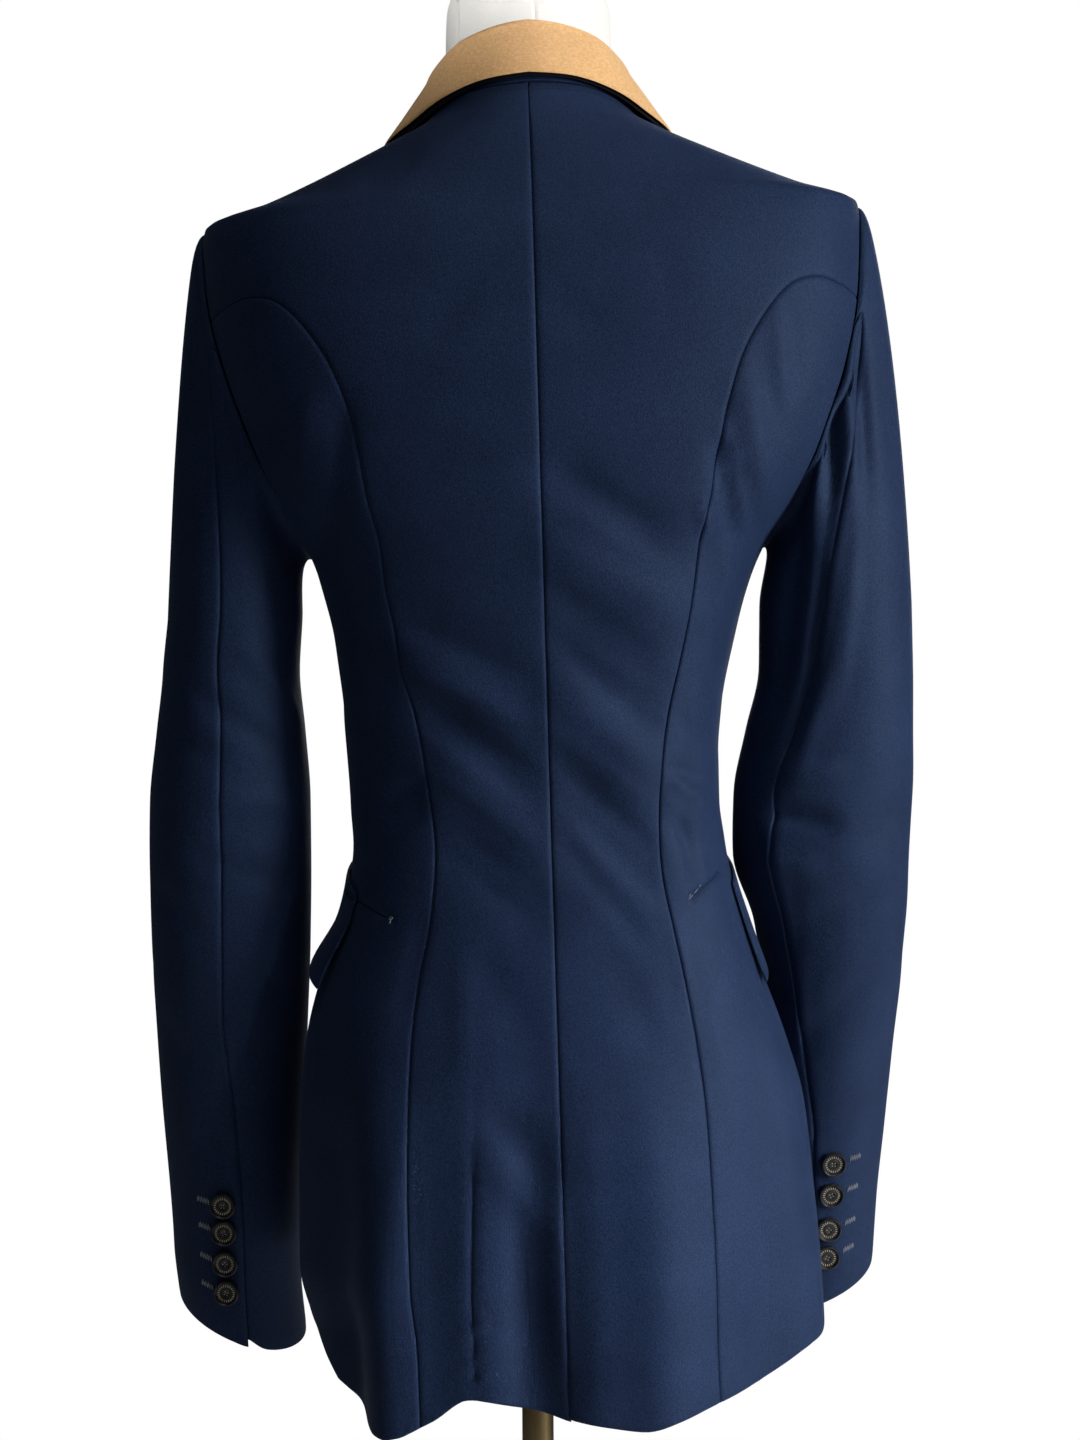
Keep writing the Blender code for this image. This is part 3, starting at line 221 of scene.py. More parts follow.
# Buttons
CUFF_BUTTON = {"radius": 7.5, "thickness": 3.4}
FRONT_BUTTON = {"radius": 9.5, "thickness": 4.0}
CUFF_BUTTON_TURN = 87.0
CUFF_BUTTON_LEVELS = {
    "left": (-624.5, -639.6, -656.7, -672.7), "right": (-609.8, -628.0, -648.1, -664.3),
}
FRONT_BUTTON_LEVELS = (-292, -354, -416)
BUTTON_CLEARANCE = 0.4

# The dress form: how far its cover lies inside the coat's inner face
FORM_EASE_COLUMNS = ("z", "side", "depth")
FORM_EASE = (
    (6, 0.8, 2.5), (-46, 1.2, 3.5), (-57, 4, 4), (-66, 8, 4.5), (-78, 9, 4.5), (-150, 9, 4.5),
    (-200, 14, 5), (-240, 14, 5), (-262, 10, 5), (-304, 6, 5.5), (-350, 6, 6), (-420, 6, 6.5),
    (-470, 7, 7),
    (-531, 13, 12), (-600, 22, 19), (-640, 28, 25),
)
FORM_TOP = -14.0
FORM_DROP = 0.7
FORM_DROP_ENDS = -66.0
FORM_FOOT = -640.0
# The form's neck, from its root up: level, half-width, half-depth and how far forward it leans
NECK = (
    (-11, 50, 50.5, 0), (6, 48.6, 50.5, 4), (24, 47.8, 50.5, 9), (44, 47.6, 50, 14),
    (58, 46.8, 49, 17), (66, 44.5, 46.5, 19),
)
NECK_CAP = {"radius": 38.0, "thickness": 10.0}
FORM_PLATE = {"radius": 62.0, "thickness": 12.0}
POLE_RADIUS = 9.0
POLE_SLEEVE = {"radius": 13.0, "length": 60.0}
BASE_RADIUS = 165.0
BASE_THICKNESS = 12.0
BASE_HUB = {"radius": 24.0, "height": 34.0}

# Creases finer than those of the solids, in the same frame and units as the tables above.
# Columns: x1, z1, x2, z2, width, depth
FINE_FOLDS = (
    (-4, -214, -68, -254, 5, -1.3), (0, -232, -72, -276, 4.5, 1.1), (6, -276, -64, -322, 6, -1.4),
    (-4, -300, -64, -342, 4.5, 1.2), (-10, -318, -62, -362, 5, -1.5), (6, -352, -56, -400, 5, 1.3),
    (-2, -372, -60, -428, 5, -1.8), (-4, -404, -58, -462, 5, 1.2), (-8, -424, -54, -480, 5, -1.1),
    (82, -298, 20, -324, 4.5, -1.3), (80, -322, 14, -352, 5, 1.2), (76, -336, 8, -382, 5, -1.6),
    (72, -356, 10, -404, 4.5, 1.3), (62, -388, 8, -430, 5, -1.5), (60, -410, 6, -458, 5, 1.0),
    (-62, -377, -86, -387, 3.0, -1.6), (-65, -385, -86, -396, 2.6, 1.6),
    (-66, -395, -84, -406, 3, -1.8), (-70, -402, -80, -446, 3.5, -1.8),
    (-76, -404, -88, -444, 3.5, 1.4), (66, -384, 88, -391, 3.5, -1.3),
    (68, -402, 90, -412, 3.5, -1.2), (-4, -120, -40, -150, 9, -0.8), (30, -110, 60, -150, 10, -0.8),
    (96, -60, 60, -32, 9, -1.0), (-104, -60, -70, -34, 9, -0.9), (-99, -196, -113, -256, 3.2, 1.9),
    (-95, -204, -108, -262, 4, -1.9), (-108, -214, -120, -258, 4, -1.6),
    (-130, -130, -138, -196, 4, 1.3), (-138, -132, -141, -186, 4, -1.3),
    (-122, -150, -128, -220, 6, -1.2), (110, -176, 120, -240, 6, 1.2),
    (122, -170, 134, -222, 5, 1.2), (40, -480, 12, -530, 9, -1.4), (-30, -486, -60, -540, 9, -1.3),
    (22, -560, 34, -640, 10, 0.9), (70, -452, 84, -520, 5, -1.0), (-64, -452, -74, -520, 5, 1.0),
    (48, -470, 54, -560, 6, 1.0), (-84, -470, -94, -600, 7, 0.9), (-104, -480, -120, -620, 7, -0.9),
    (84, -560, 92, -712, 8, 2.2), (112, -560, 122, -712, 9, -1.9), (44, -556, 4, -596, 9, -2.2),
    (44, -584, 6, -624, 9, 1.8), (44, -566, 52, -712, 10, 0.9), (25, -600, 24, -712, 6.5, -2.4),
    (3, -585, 4, -712, 6, 2.6), (-64, -96, -74, -130, 9, -0.8), (-86, -232, -92, -262, 3, 1.5),
    (-92, -250, -96, -300, 4, -1.5), (-70, -348, -86, -372, 4, -1.2),
)
# The same on the hidden front and sides. Columns: turn1, z1, turn2, z2, width, depth
FRONT_FOLDS = (
    (172, -330, 140, -352, 9, -1.6), (170, -372, 136, -398, 9, -1.8),
    (168, -300, 138, -292, 10, -1.3), (-172, -326, -142, -350, 9, -1.5),
    (-170, -376, -134, -404, 9, -1.9), (-166, -298, -140, -288, 10, -1.2),
    (150, -210, 128, -236, 10, -1.6), (-148, -206, -126, -240, 10, -1.8),
    (128, -262, 112, -300, 9, -1.4), (-128, -262, -110, -306, 9, -1.6),
    (160, -430, 150, -520, 10, 1.4), (-158, -434, -148, -524, 10, 1.3),
    (100, -300, 80, -350, 10, -1.4), (-100, -296, -78, -350, 10, -1.7),
    (104, -360, 84, -398, 9, -1.5), (-106, -356, -82, -402, 9, -1.4), (96, -520, 92, -640, 11, 1.2),
    (-98, -520, -92, -640, 11, 1.3),
)
# The pressed crease of the skirt and the small puckers along it: turn, top, foot, width, depth
PRESSED_CREASE = (19.6, -530.0, -700.0, 1.2, -1.3)
CREASE_LEAN = 0.0135

# Folds of the sleeves: turn from the outside towards the back, and level, at both ends, then the
# width and depth. Columns: turn1, z1, turn2, z2, width, depth
SLEEVE_FOLDS = {
    "left": (
        (60, -112, 74, -232, 8, -1.5), (100, -150, 118, -232, 5, 1.6),
        (118, -180, 150, -262, 7, -2.4), (40, -128, 30, -240, 10, 1.2),
        (84, -110, 88, -180, 4, 1.4), (100, -250, 160, -300, 6, -1.9),
        (96, -300, 168, -352, 6, 1.7), (60, -330, 150, -372, 6, -2.2),
        (20, -352, 96, -372, 7, -1.4), (70, -392, 160, -398, 6, 1.8),
        (60, -424, 150, -444, 6, -2.0), (20, -440, 84, -478, 8, -1.4),
        (90, -486, 160, -520, 8, -1.4), (30, -520, 88, -570, 9, -1.1),
        (250, -300, 320, -352, 7, -2.0), (240, -344, 312, -372, 6, 1.7),
        (240, -372, 310, -402, 6, -2.2), (244, -410, 316, -436, 6, 1.6),
        (250, -430, 320, -462, 7, -1.9), (200, -330, 250, -352, 7, -1.7),
        (204, -402, 262, -436, 7, -1.8), (60, -590, 130, -612, 9, -1.0),
        (-30, -150, -20, -260, 10, 1.2), (-10, -420, 10, -500, 9, -1.0),
    ),
    "right": (
        (84, -138, 80, -240, 4.6, 4.2), (70, -132, 66, -236, 5.0, -3.0),
        (92, -146, 97, -262, 3.4, -3.6), (103, -166, 112, -256, 4.8, 4.4),
        (120, -190, 134, -290, 7.5, -5.6), (90, -226, 112, -392, 4.6, 3.4),
        (124, -250, 142, -352, 7, -4.2), (93, -262, 110, -352, 3.0, -2.6),
        (78, -236, 99, -366, 5, 2.2), (100, -250, 122, -372, 3.6, -2.4),
        (128, -396, 124, -500, 8, 2.6), (120, -470, 126, -560, 6, 1.6),
        (40, -150, 30, -260, 10, -1.4), (128, -382, 80, -386, 5.5, 2.8),
        (138, -406, 82, -414, 6, -6.0), (136, -430, 94, -440, 5.5, 3.2),
        (40, -450, 130, -474, 7, -2.2), (30, -400, 70, -428, 8, -1.6),
        (118, -440, 124, -500, 5, -2.0), (60, -500, 130, -546, 8, -1.6),
        (250, -300, 320, -346, 7, -2.0), (240, -336, 312, -368, 6, 1.7),
        (240, -366, 312, -400, 6, -2.3), (246, -404, 318, -432, 6, 1.6),
        (250, -430, 320, -470, 7, -2.0), (200, -340, 252, -362, 7, -1.7),
        (204, -410, 262, -440, 7, -1.8), (50, -580, 120, -600, 9, -1.0),
        (-30, -150, -20, -260, 10, 1.2), (-10, -420, 10, -500, 9, -1.0),
    ),
}

# Broad folds don't bow, and fade over other shares of their length than the fine ones
BROAD_FOLD = {"bow": 0.0, "rise": (-0.15, 0.3), "fall": (0.7, 1.15)}
# Passes that solve a section for its turn
TURN_PASSES = 12
# Millimetres to a degree: round the body, at the pressed crease and round a sleeve
BODY_DEGREE = 2.1
CREASE_DEGREE = 2.3
SLEEVE_DEGREE = 0.72
# The pressed crease and its puckers, the panels' points, and the depth no fine hollow passes
CREASE_FADE = 90.0
PUCKER_HEIGHT = 0.8
PUCKER_PITCH = 2.4
PUCKER_WIDTH = 8.0
PUCKERS_START = (-660.0, -678.0)
FINE_STEP = 4.2
FINE_DETAIL = 6
DEEPEST = 2.0
# The ditch along a seam, the swell beside it, and the pocket's slit with its lips
DITCH_DEPTH = 0.50
DITCH_WIDTH = 0.8
SWELL = 0.05
SWELL_AT = 3.6
SWELL_WIDTH = 2.6
SLIT_DEPTH = 1.3
SLIT_LIP = 0.8
# The triangles' rows, and how far they keep off the edges and the inner lines, in steps
ROW_RISE = 0.92
OFF_EDGES = 0.55
OFF_LINES = 0.45
# Panels reach out to their neighbours by this much, and have rows of points along their edges
EDGE_OUT = 0.13
EDGE_ROWS = (1.1, 2.6)
EDGE_ROUND = 0.35

# The panels: the seams round each, a minus sign for one that runs backwards, the seams that sink
# in, and the size of its cloth in metres
PANELS = {
    "back": ("centre hem_back -princess -arm_back -shoulder -neck_back",
             "centre princess armhole shoulder neck_back", (0.21, 0.74)),
    "side": ("princess hem_side -front -arm_side", "princess front armhole", (0.24, 0.64)),
    "front": ("front -opening -neck_front shoulder -arm_front", "front armhole shoulder",
              (0.24, 0.66)),
}

# The sleeves' rings of points, in the head and down the tube, where their seams run, how the head
# rolls over, how far its seam bows, the settled underarm and the mock vent
SLEEVE_DETAIL = 6
HINDARM_AT = HINDARM_ROW * SLEEVE_DETAIL
FOREARM_AT = FOREARM_ROW * SLEEVE_DETAIL
HEAD_STEPS = np.concatenate((np.linspace(0, 0.1, 4, endpoint=False), np.linspace(0.1, 0.97, 22)))
TUBE_STEPS = 88
HEAD_LOW = (110.0, 30.0)
HEAD_SWELL = 4.0
HEAD_DROP = 12.0
HEAD_ROLL = 0.7
HEAD_ROLL_RING = 5.2
HEAD_ROLL_RINGS = 3.6
FOLDS_FROM_RING = 10.0
SLEEVE_DITCH = 0.55
SEAM_BOW = {"left": -0.45, "right": -1.25}
UNDERARM_TOP = -170.0
UNDERARM_ROWS = 30
UNDERARM_PASSES = 14
VENT_TOP = {"left": -606.0, "right": -596.0}
VENT_LIFT = 1.1
VENT_FADE = 8.0
VENT_SHARES = (1.0, 1.0, 0.7, 0.3)
VENT_STEP = 4.0
VENT_STEP_FADE = 40.0

# The felts: name, node, what it lies on, material, how far its middle lies in from the section, its
# thickness, how far it shows, how deep its foot goes and the share of it in the coat's cloth
FELTS = (
    ("collar_felt", "collar", "undercollar_felt", "camel", 0.0, 1.6, 0.0, 0.7, 0.14),
    ("undercollar_felt", "undercollar", "collar_felt", "undercollar", 2.8, 1.1, 1.8, 2.2, 0.42),
)
FELT_THINS = 0.35
# The collar's section: its foot, its stand, its roll, its fall, and how it shifts along the neck
COLLAR_FOOT = (-2.9, 1.4)
COLLAR_STAND = (0.55, 0.5)
ROLL_PROFILE = ((-1, -1.15), (-0.62, -0.30), (0, 0), (0.62, -0.34), (1, -1.2))
ROLL_WIDTH_SHARE = 0.26
COLLAR_FALL = ((0.36, 0.7), (0.70, 0.5))
COLLAR_SHIFT = (0, 0, 0, 0, 0, 0.02, 0.08, 0.4, 0.72, 1.0)

# Threads, their radii in metres. The pale ones at the pockets' ends run each from a place to a
# place beside the slit's end
THREAD_SIDES = 7
TOPSTITCH_RADIUS = 0.2e-3
BASTING_RADIUS = 0.16e-3
BUTTONHOLE_RADIUS = 0.22e-3
BUTTONHOLE_STITCHES = 9
BUTTONHOLE_PITCH = 1.3
STITCH_INSET = 9.0
STITCH_LENGTH = 2.5
STITCH_PITCH = 3.6
BUTTONHOLE_TURN = {"left": 74.0, "right": 70.0}
POCKET_SLIT = {
    "left": ((86, -461), (92, -458), (100, -453.5), (108, -449)),
    "right": ((79, -449), (84, -446), (91, -441.5), (98, -437)),
}
POCKET_BASTING = {
    "left": (((-1.5, 2.0), (1.4, -2.0)), ((0.4, 2.4), (0.2, -1.6)), ((2.4, 1.2), (0.2, 0.2))),
    "right": (((-4.5, -2.0), (0.5, 0.6)), ((1.8, 1.2), (6.4, 3.6)), ((-3.5, -0.4), (-1.6, 1.0)),
              ((8.5, 4.6), (10.5, 5.6))),
}

# A button's profile as shares of its radius and thickness, and its marks: how many, the first one's
# turn, where they start and end, and half their width
BUTTON_PROFILE = (
    (0, 0.62), (0.24, 0.62), (0.28, 0.68), (0.36, 0.68), (0.40, 0.60), (0.72, 0.60), (0.78, 0.66),
    (0.83, 0.92), (0.88, 1), (0.94, 0.96), (0.985, 0.82), (1, 0.62), (0.99, 0.42), (0.93, 0.18),
    (0.84, 0), (0, 0),
)
BUTTON_SIDES = 56
TURNED_SIDES = 120
BUTTON_MARKS = ((22, 0.0, 0.52, 0.67, 0.05), (4, 0.4, 0.10, 0.20, 0.14))
BOX_FACES = ((0, 1, 3, 2), (4, 6, 7, 5), (0, 4, 5, 1), (2, 3, 7, 6), (1, 5, 7, 3), (0, 2, 6, 4))

# The form's cover: points round it, its sewn seams' groove, wobble and turns, and where it tilts
FORM_SIDES = 288
FORM_GROOVE = 1.0
FORM_GROOVE_WIDTH = 0.9
FORM_WOBBLE = 1.2
FORM_WOBBLE_PITCH = 9.0
FORM_TILTS_FROM = (-6.0, 10.0)
FORM_TILTS_TO = (150.0, 400.0)
FORM_SEAMS = (-3.5, 58.0, 122.0, 180.0, 238.0, 302.0)

# The floor, the camera, and the lights: name, place, aim, size, power and spread
FLOOR_RADIUS = 2.0
SENSOR = 36.0
CAMERA_FOCAL = 2600.0
CAMERA_LONG_SIDE = 1440.0
CAMERA_PLACE = (-0.004, 1.490, 1.018)
CAMERA_ROLL = 0.40
LIGHTS = (
    ("key", (-2.3, 1.12, 1.42), (0, 0, 0.92), (0.9, 1.3), 82.0, 180),
    ("top", (-0.3, 0.9, 2.9), (0, 0, 1.2), (1.4, 1.0), 9.0, 180),
    ("fill", (1.6, 2.2, 1.0), (0, 0, 1.0), (1.2, 1.6), 0.5, 180),
    ("neck", (1.0, 1.4, 1.80), (0, 0, 1.50), (0.15, 0.15), 0.16, 8),
    ("skirt", (-1.7, 1.5, 1.70), (0, 0, 0.68), (0.30, 0.30), 0.24, 14),
    ("front", (-0.5, -2.3, 1.7), (0, 0, 1.0), (1.8, 1.6), 16.0, 180),
)
BACKDROP = ((1, 1, 1, 1), 1.0)
AMBIENT = ((0.94, 0.96, 1.0, 1), 0.035)

NAVY = (0.0106, 0.0204, 0.0530)
NAVY_DEEP = (0.0082, 0.0158, 0.0425)
# The collar's camel tones are lighter than the felt's own colour: painted light, standing in for
# light the lamps don't bring to the collar
CAMEL = (0.80, 0.465, 0.200)
CAMEL_DEEP = (0.68, 0.375, 0.145)
CAMEL_LIGHT = (0.92, 0.60, 0.31)
LINEN = (0.80, 0.79, 0.75)
LINEN_DEEP = (0.73, 0.72, 0.68)
BRASS = (0.40, 0.30, 0.15)
BRASS_DEEP = (0.25, 0.18, 0.09)
THREAD_COLOURS = {"thread_navy": (0.004, 0.007, 0.020), "thread_pale": (0.34, 0.36, 0.42)}
# The materials. Noises: scale, detail, roughness and stretch. Tint and speckle: a noise and its
# colour stops. Varied: a noise and the roughness at its ends. Bumps: noise, metres, strength
LOOKS = {
    "navy": {
        "name": "coat_cloth", "colour": NAVY, "roughness": 0.62,
        "sockets": {"Sheen Weight": 0.07, "Sheen Roughness": 0.45, "Specular IOR Level": 0.20,
                    "Sheen Tint": (0.34, 0.52, 1.0, 1), "Specular Tint": (0.42, 0.62, 1.0, 1)},
        "noises": {"cloud": (26, 3), "grain": (2400, 2, 0.6), "ribs": (1500, 1, 0.5, (1, 1, 0.35)),
                   "speck": (1100, 4, 0.75)},
        "tint": ("cloud", (0.3, NAVY_DEEP), (0.7, NAVY)),
        "speckle": ("speck", (0.36, (0.42, 0.48, 0.6)), (0.64, (1.55, 1.5, 1.4))),
        "varied": ("grain", 0.54, 0.68),
        "bumps": (("ribs", 0.00018, 0.6), ("grain", 0.00018, 0.7), ("cloud", 0.0012, 0.25)),
    },
    "camel": {
        "name": "collar_cloth", "colour": CAMEL, "roughness": 0.9,
        "sockets": {"Sheen Weight": 0.35, "Sheen Roughness": 0.5, "Specular IOR Level": 0.2,
                    "Sheen Tint": (1.0, 0.82, 0.6, 1)},
        "noises": {"fibre": (560, 6, 0.8, (1, 1, 1.6)), "fuzz": (2200, 4, 0.7), "blotch": (60, 3)},
        "tint": ("fibre", (0.36, CAMEL_DEEP), (0.5, CAMEL), (0.66, CAMEL_LIGHT)),
        "varied": ("blotch", 0.82, 0.95),
        "bumps": (("fibre", 0.0010, 0.8), ("fuzz", 0.0004, 0.8), ("blotch", 0.0015, 0.35)),
    },
    # The undercollar's near-black is partly its own dark felt and partly painted shade: the shade
    # under the collar's fall, also on its rim that shows past the collar's edge
    "undercollar": {
        "name": "undercollar_cloth_and_painted_shade", "colour": (0.006, 0.006, 0.008), "roughness": 0.95,
        "sockets": {"Sheen Weight": 0.03, "Sheen Roughness": 0.5, "Specular IOR Level": 0.08},
        "noises": {"felt": (1300, 5, 0.7)},
        "tint": ("felt", (0.3, (0.003, 0.003, 0.004)), (0.7, (0.009, 0.009, 0.012))),
        "bumps": (("felt", 0.0004, 0.6),),
    },
    "form_cloth": {
        "name": "form_linen", "colour": LINEN, "roughness": 0.85,
        "sockets": {"Sheen Weight": 0.12, "Sheen Roughness": 0.5, "Specular IOR Level": 0.25},
        "noises": {"weave": (1400, 3, 0.6, (1, 1, 0.30)), "cross": (1400, 3, 0.6, (0.30, 0.30, 1)),
                   "tone": (30, 3)},
        "tint": ("tone", (0.3, LINEN_DEEP), (0.7, LINEN)), "varied": ("weave", 0.8, 0.92),
        "bumps": (("weave", 0.0003, 0.5), ("cross", 0.0003, 0.5)),
    },
    "metal": {
        "name": "pole_brass", "colour": BRASS, "roughness": 0.2, "metallic": 1.0,
        "noises": {"wipe": (40, 4, 0.6, (1, 1, 0.25)), "fine": (900, 2, 0.5, (1, 1, 0.05))},
        "tint": ("wipe", (0.3, BRASS_DEEP), (0.7, BRASS)), "varied": ("wipe", 0.14, 0.30),
        "bumps": (("fine", 0.00005, 0.25),),
    },
    "base": {
        "name": "base_coat", "colour": (0.035, 0.035, 0.038), "roughness": 0.45,
        "sockets": {"Coat Weight": 0.15, "Coat Roughness": 0.3},
        "noises": {"orange": (700, 2), "dust": (14, 4)},
        "tint": ("dust", (0.35, (0.030, 0.030, 0.033)), (0.7, (0.045, 0.045, 0.048))),
        "varied": ("dust", 0.38, 0.55), "bumps": (("orange", 0.0002, 0.3),),
    },
    "button": {
        "name": "button_plate", "colour": (0.030, 0.030, 0.033), "roughness": 0.34, "metallic": 0.7,
        "noises": {"patina": (500, 3, 0.6)},
        "tint": ("patina", (0.3, (0.014, 0.014, 0.016)), (0.75, (0.045, 0.043, 0.044))),
        "varied": ("patina", 0.26, 0.46), "bumps": (("patina", 0.0001, 0.4),),
    },
    "button_gold": {
        "name": "button_bright", "colour": (0.50, 0.45, 0.34), "roughness": 0.38, "metallic": 0.6,
        "noises": {"rub": (800, 3, 0.6)},
        "tint": ("rub", (0.3, (0.34, 0.30, 0.22)), (0.7, (0.60, 0.55, 0.43))),
        "varied": ("rub", 0.25, 0.42),
    },
}
FLOOR_LOOK = {
    "name": "floor_paint", "colour": (0.80, 0.80, 0.79), "roughness": 0.7,
    "noises": {"mottle": (3, 3)},
    "tint": ("mottle", (0.3, (0.78, 0.78, 0.77)), (0.7, (0.83, 0.83, 0.82))),
}


def smooth_steps(xs, ys):
    """A monotone cubic curve y(x) through the rows of a table."""
    order = np.argsort(xs)
    xs, ys = np.asarray(xs, float)[order], np.asarray(ys, float)[order]
    gaps = np.diff(xs)
    slopes = np.diff(ys) / gaps
    inner = np.where(slopes[:-1] * slopes[1:] > 0,
                     2 * slopes[:-1] * slopes[1:] / (slopes[:-1] + slopes[1:] + 1e-12), 0.0)
    tangents = np.concatenate(([slopes[0]], inner, [slopes[-1]]))

    def value(x):
        x = np.clip(np.asarray(x, float), xs[0], xs[-1])
        i = np.clip(np.searchsorted(xs, x, side="right") - 1, 0, len(gaps) - 1)
        t = (x - xs[i]) / gaps[i]
        return ((1 + 2 * t) * (1 - t) ** 2 * ys[i] + t * (1 - t) ** 2 * gaps[i] * tangents[i]
                + t * t * (3 - 2 * t) * ys[i + 1] + t * t * (t - 1) * gaps[i] * tangents[i + 1])

    return value


def columns_of(table, columns):
    """Every column of a table as a smooth function of its first column."""
    levels, *values = np.array(table, float).T
    return {name: smooth_steps(levels, value) for name, value in zip(columns[1:], values)}


def ease_between(value, start, end):
    """0 before start, 1 after end, and smooth between."""
    t = np.clip((value - start) / (end - start), 0, 1)
    return t * t * (3 - 2 * t)


def bell(away, width):
    """1 at no distance away, and fading within about a width."""
    return np.exp(-(away / width) ** 2)


def unit(vectors):
    return vectors / np.linalg.norm(vectors, axis=-1, keepdims=True)


def wrapped(degrees):
    """The same turns between -180 and 180 degrees."""
    return (degrees + 180) % 360 - 180


def smooth_path(points, per_span=6):
    """A smooth curve through points of any dimension."""
    points = np.asarray(points, float)
    ends = np.vstack((2 * points[0] - points[1], points, 2 * points[-1] - points[-2]))
    t = np.linspace(0, 1, per_span, endpoint=False)[:, None]
    spans = []
    for a, b, c, d in zip(ends[:-3], ends[1:-2], ends[2:-1], ends[3:]):
        spans.append(0.5 * (2 * b + (c - a) * t + (2 * a - 5 * b + 4 * c - d) * t ** 2
                            + (3 * b - a - 3 * c + d) * t ** 3))
    return np.vstack(spans + [points[-1:]])


def length_along(points):
    """How far along a path each of its points lies."""
    return np.concatenate(([0], np.cumsum(np.linalg.norm(np.diff(points, axis=0), axis=1))))


def points_at(points, run, at):
    """Points of a path, for each value asked of the running value that its points have."""
    return np.stack([np.interp(at, run, values) for values in points.T], axis=1)


def resample(points, step):
    """The same path with evenly spaced points, about a step apart, and both ends kept."""
    points = np.asarray(points, float)
    run = length_along(points)
    count = max(1, int(round(run[-1] / step)))
    return points_at(points, run, np.linspace(0, run[-1], count + 1))


BODY = columns_of(TORSO, TORSO_COLUMNS)
FORM = columns_of(FORM_EASE, FORM_EASE_COLUMNS)
TUBES = {hand: columns_of(rows, SLEEVE_COLUMNS) for hand, rows in SLEEVES.items()}


def section(turn, z, half, middle, ease=0.0):
    """A level section: a squared oval of a half-width, as deep as the body less an ease."""
    sine, cosine, square = np.sin(turn), np.cos(turn), BODY["square"](z)
    depth = np.where(cosine > 0, BODY["back"](z) - middle, BODY["front"](z) + middle) - ease
    x = half * sine * (1 + square * cosine ** 2)
    y = middle + depth * cosine * (1 + square * sine ** 2)
    return np.stack((x, y, z + 0 * x), axis=-1)


def plain_body(turn, z):
    """The coat's body without its folds, for turns in radians and levels."""
    left, right = BODY["left"](z), BODY["right"](z)
    half = (left + right) / 2 + (left - right) / 2 * np.sin(turn)
    return section(turn, z, half, BODY["middle"](z))


def normals_of(surface, turn, z, nudge=(0.002, 0.3)):
    """Unit normals of a surface of turn and z, from its points a nudge to each side."""
    along = surface(turn + nudge[0], z) - surface(turn - nudge[0], z)
    up = surface(turn, z + nudge[1]) - surface(turn, z - nudge[1])
    return unit(np.cross(up, along))


def streak(px, pz, x1, z1, x2, z2, width, depth, bow=0.12, rise=(-0.12, 0.35), fall=(0.62, 1.12)):
    """The height of one fold at places (px, pz): a ridge or trough that fades at both ends."""
    run = np.array((x2 - x1, z2 - z1), float)
    length = np.linalg.norm(run)
    run = run / length
    dx, dz = px - x1, pz - z1
    along = (dx * run[0] + dz * run[1]) / length
    across = dx * -run[1] + dz * run[0] + bow * width * np.sin(along * 5.0 + x1)
    fade = ease_between(along, *rise) * (1 - ease_between(along, *fall))
    return depth * fade * bell(across, width)


def fold_height(turn, z):
    """How far the flutes and folds stand out of the plain body."""
    degrees = np.degrees(turn)
    grown = ease_between(z, FLUTES_START, FLUTES_FULL)
    height = 0 * turn
    for centre, width, depth in FLUTES:
        height = height + grown * depth * bell(wrapped(degrees - centre), width)
    place = plain_body(turn, z)
    for row in FOLDS:
        height = height + streak(place[..., 0], z, *row, **BROAD_FOLD) * (place[..., 1] > 0)
    return height


def fine_relief(turn, z):
    """Creases too fine for the solids, as a height on the body's outer face."""
    place = plain_body(turn, z)
    degrees = wrapped(np.degrees(turn))
    height = 0 * turn
    for row in FINE_FOLDS:
        height = height + streak(place[..., 0], z, *row) * (place[..., 1] > 0)
    for turn1, z1, turn2, z2, width, depth in FRONT_FOLDS:
        near = np.cos(np.radians(degrees - (turn1 + turn2) / 2)) > 0.5
        x = (turn1 + wrapped(degrees - turn1)) * BODY_DEGREE
        height = height + near * streak(x, z, turn1 * BODY_DEGREE, z1, turn2 * BODY_DEGREE, z2,
                                        width, depth)
    crease, top, foot, width, depth = PRESSED_CREASE
    away = (degrees - crease + CREASE_LEAN * (z - foot)) * CREASE_DEGREE
    height = height + depth * ease_between(z, top, top - CREASE_FADE) * bell(away, width)
    ripple = PUCKER_HEIGHT * np.sin(z / PUCKER_PITCH + away / 3) * bell(away, PUCKER_WIDTH)
    shown = ease_between(z, *PUCKERS_START) * (1 - ease_between(z, foot, foot - 8))
    height = height + ripple * shown
    return np.where(height < 0, DEEPEST * np.tanh(height / DEEPEST), height)


def body(turn, z):
    """The outer face of the coat's body, with its flutes and folds."""
    turn, z = np.asarray(turn, float), np.asarray(z, float)
    return plain_body(turn, z) + normals_of(plain_body, turn, z) * fold_height(turn, z)[..., None]


def fine_body(turn, z):
    """The same with its finer creases."""
    return body(turn, z) + normals_of(plain_body, turn, z) * fine_relief(turn, z)[..., None]


def tilt_at(z):
    """How much the coat's levels slope down to the wearer's left."""
    return TILT * np.clip(1 - z / TILT_FADES_AT, 0, 1)


def world(points):
    """From the coat's own frame to the scene: it leans and tilts on the form. Metres."""
    x, y, z = np.moveaxis(np.asarray(points, float), -1, 0)
    return np.stack((x + LEAN * z, y, z - tilt_at(z) * x + NAPE_HEIGHT), axis=-1) * MM


def turn_at_width(x, z, front=False):
    """The turn of the point of the body's left side that lies at x, on the back or the front."""
    half, square = BODY["left"](z) / 2 + BODY["right"](z) / 2, BODY["square"](z)
    sine = np.clip(x / half, -1, 1)
    for _ in range(TURN_PASSES):
        sine = np.clip(x / half / (1 + square * (1 - sine ** 2)), -1, 1)
    turn = np.arcsin(sine)
    return math.pi - turn if front else turn


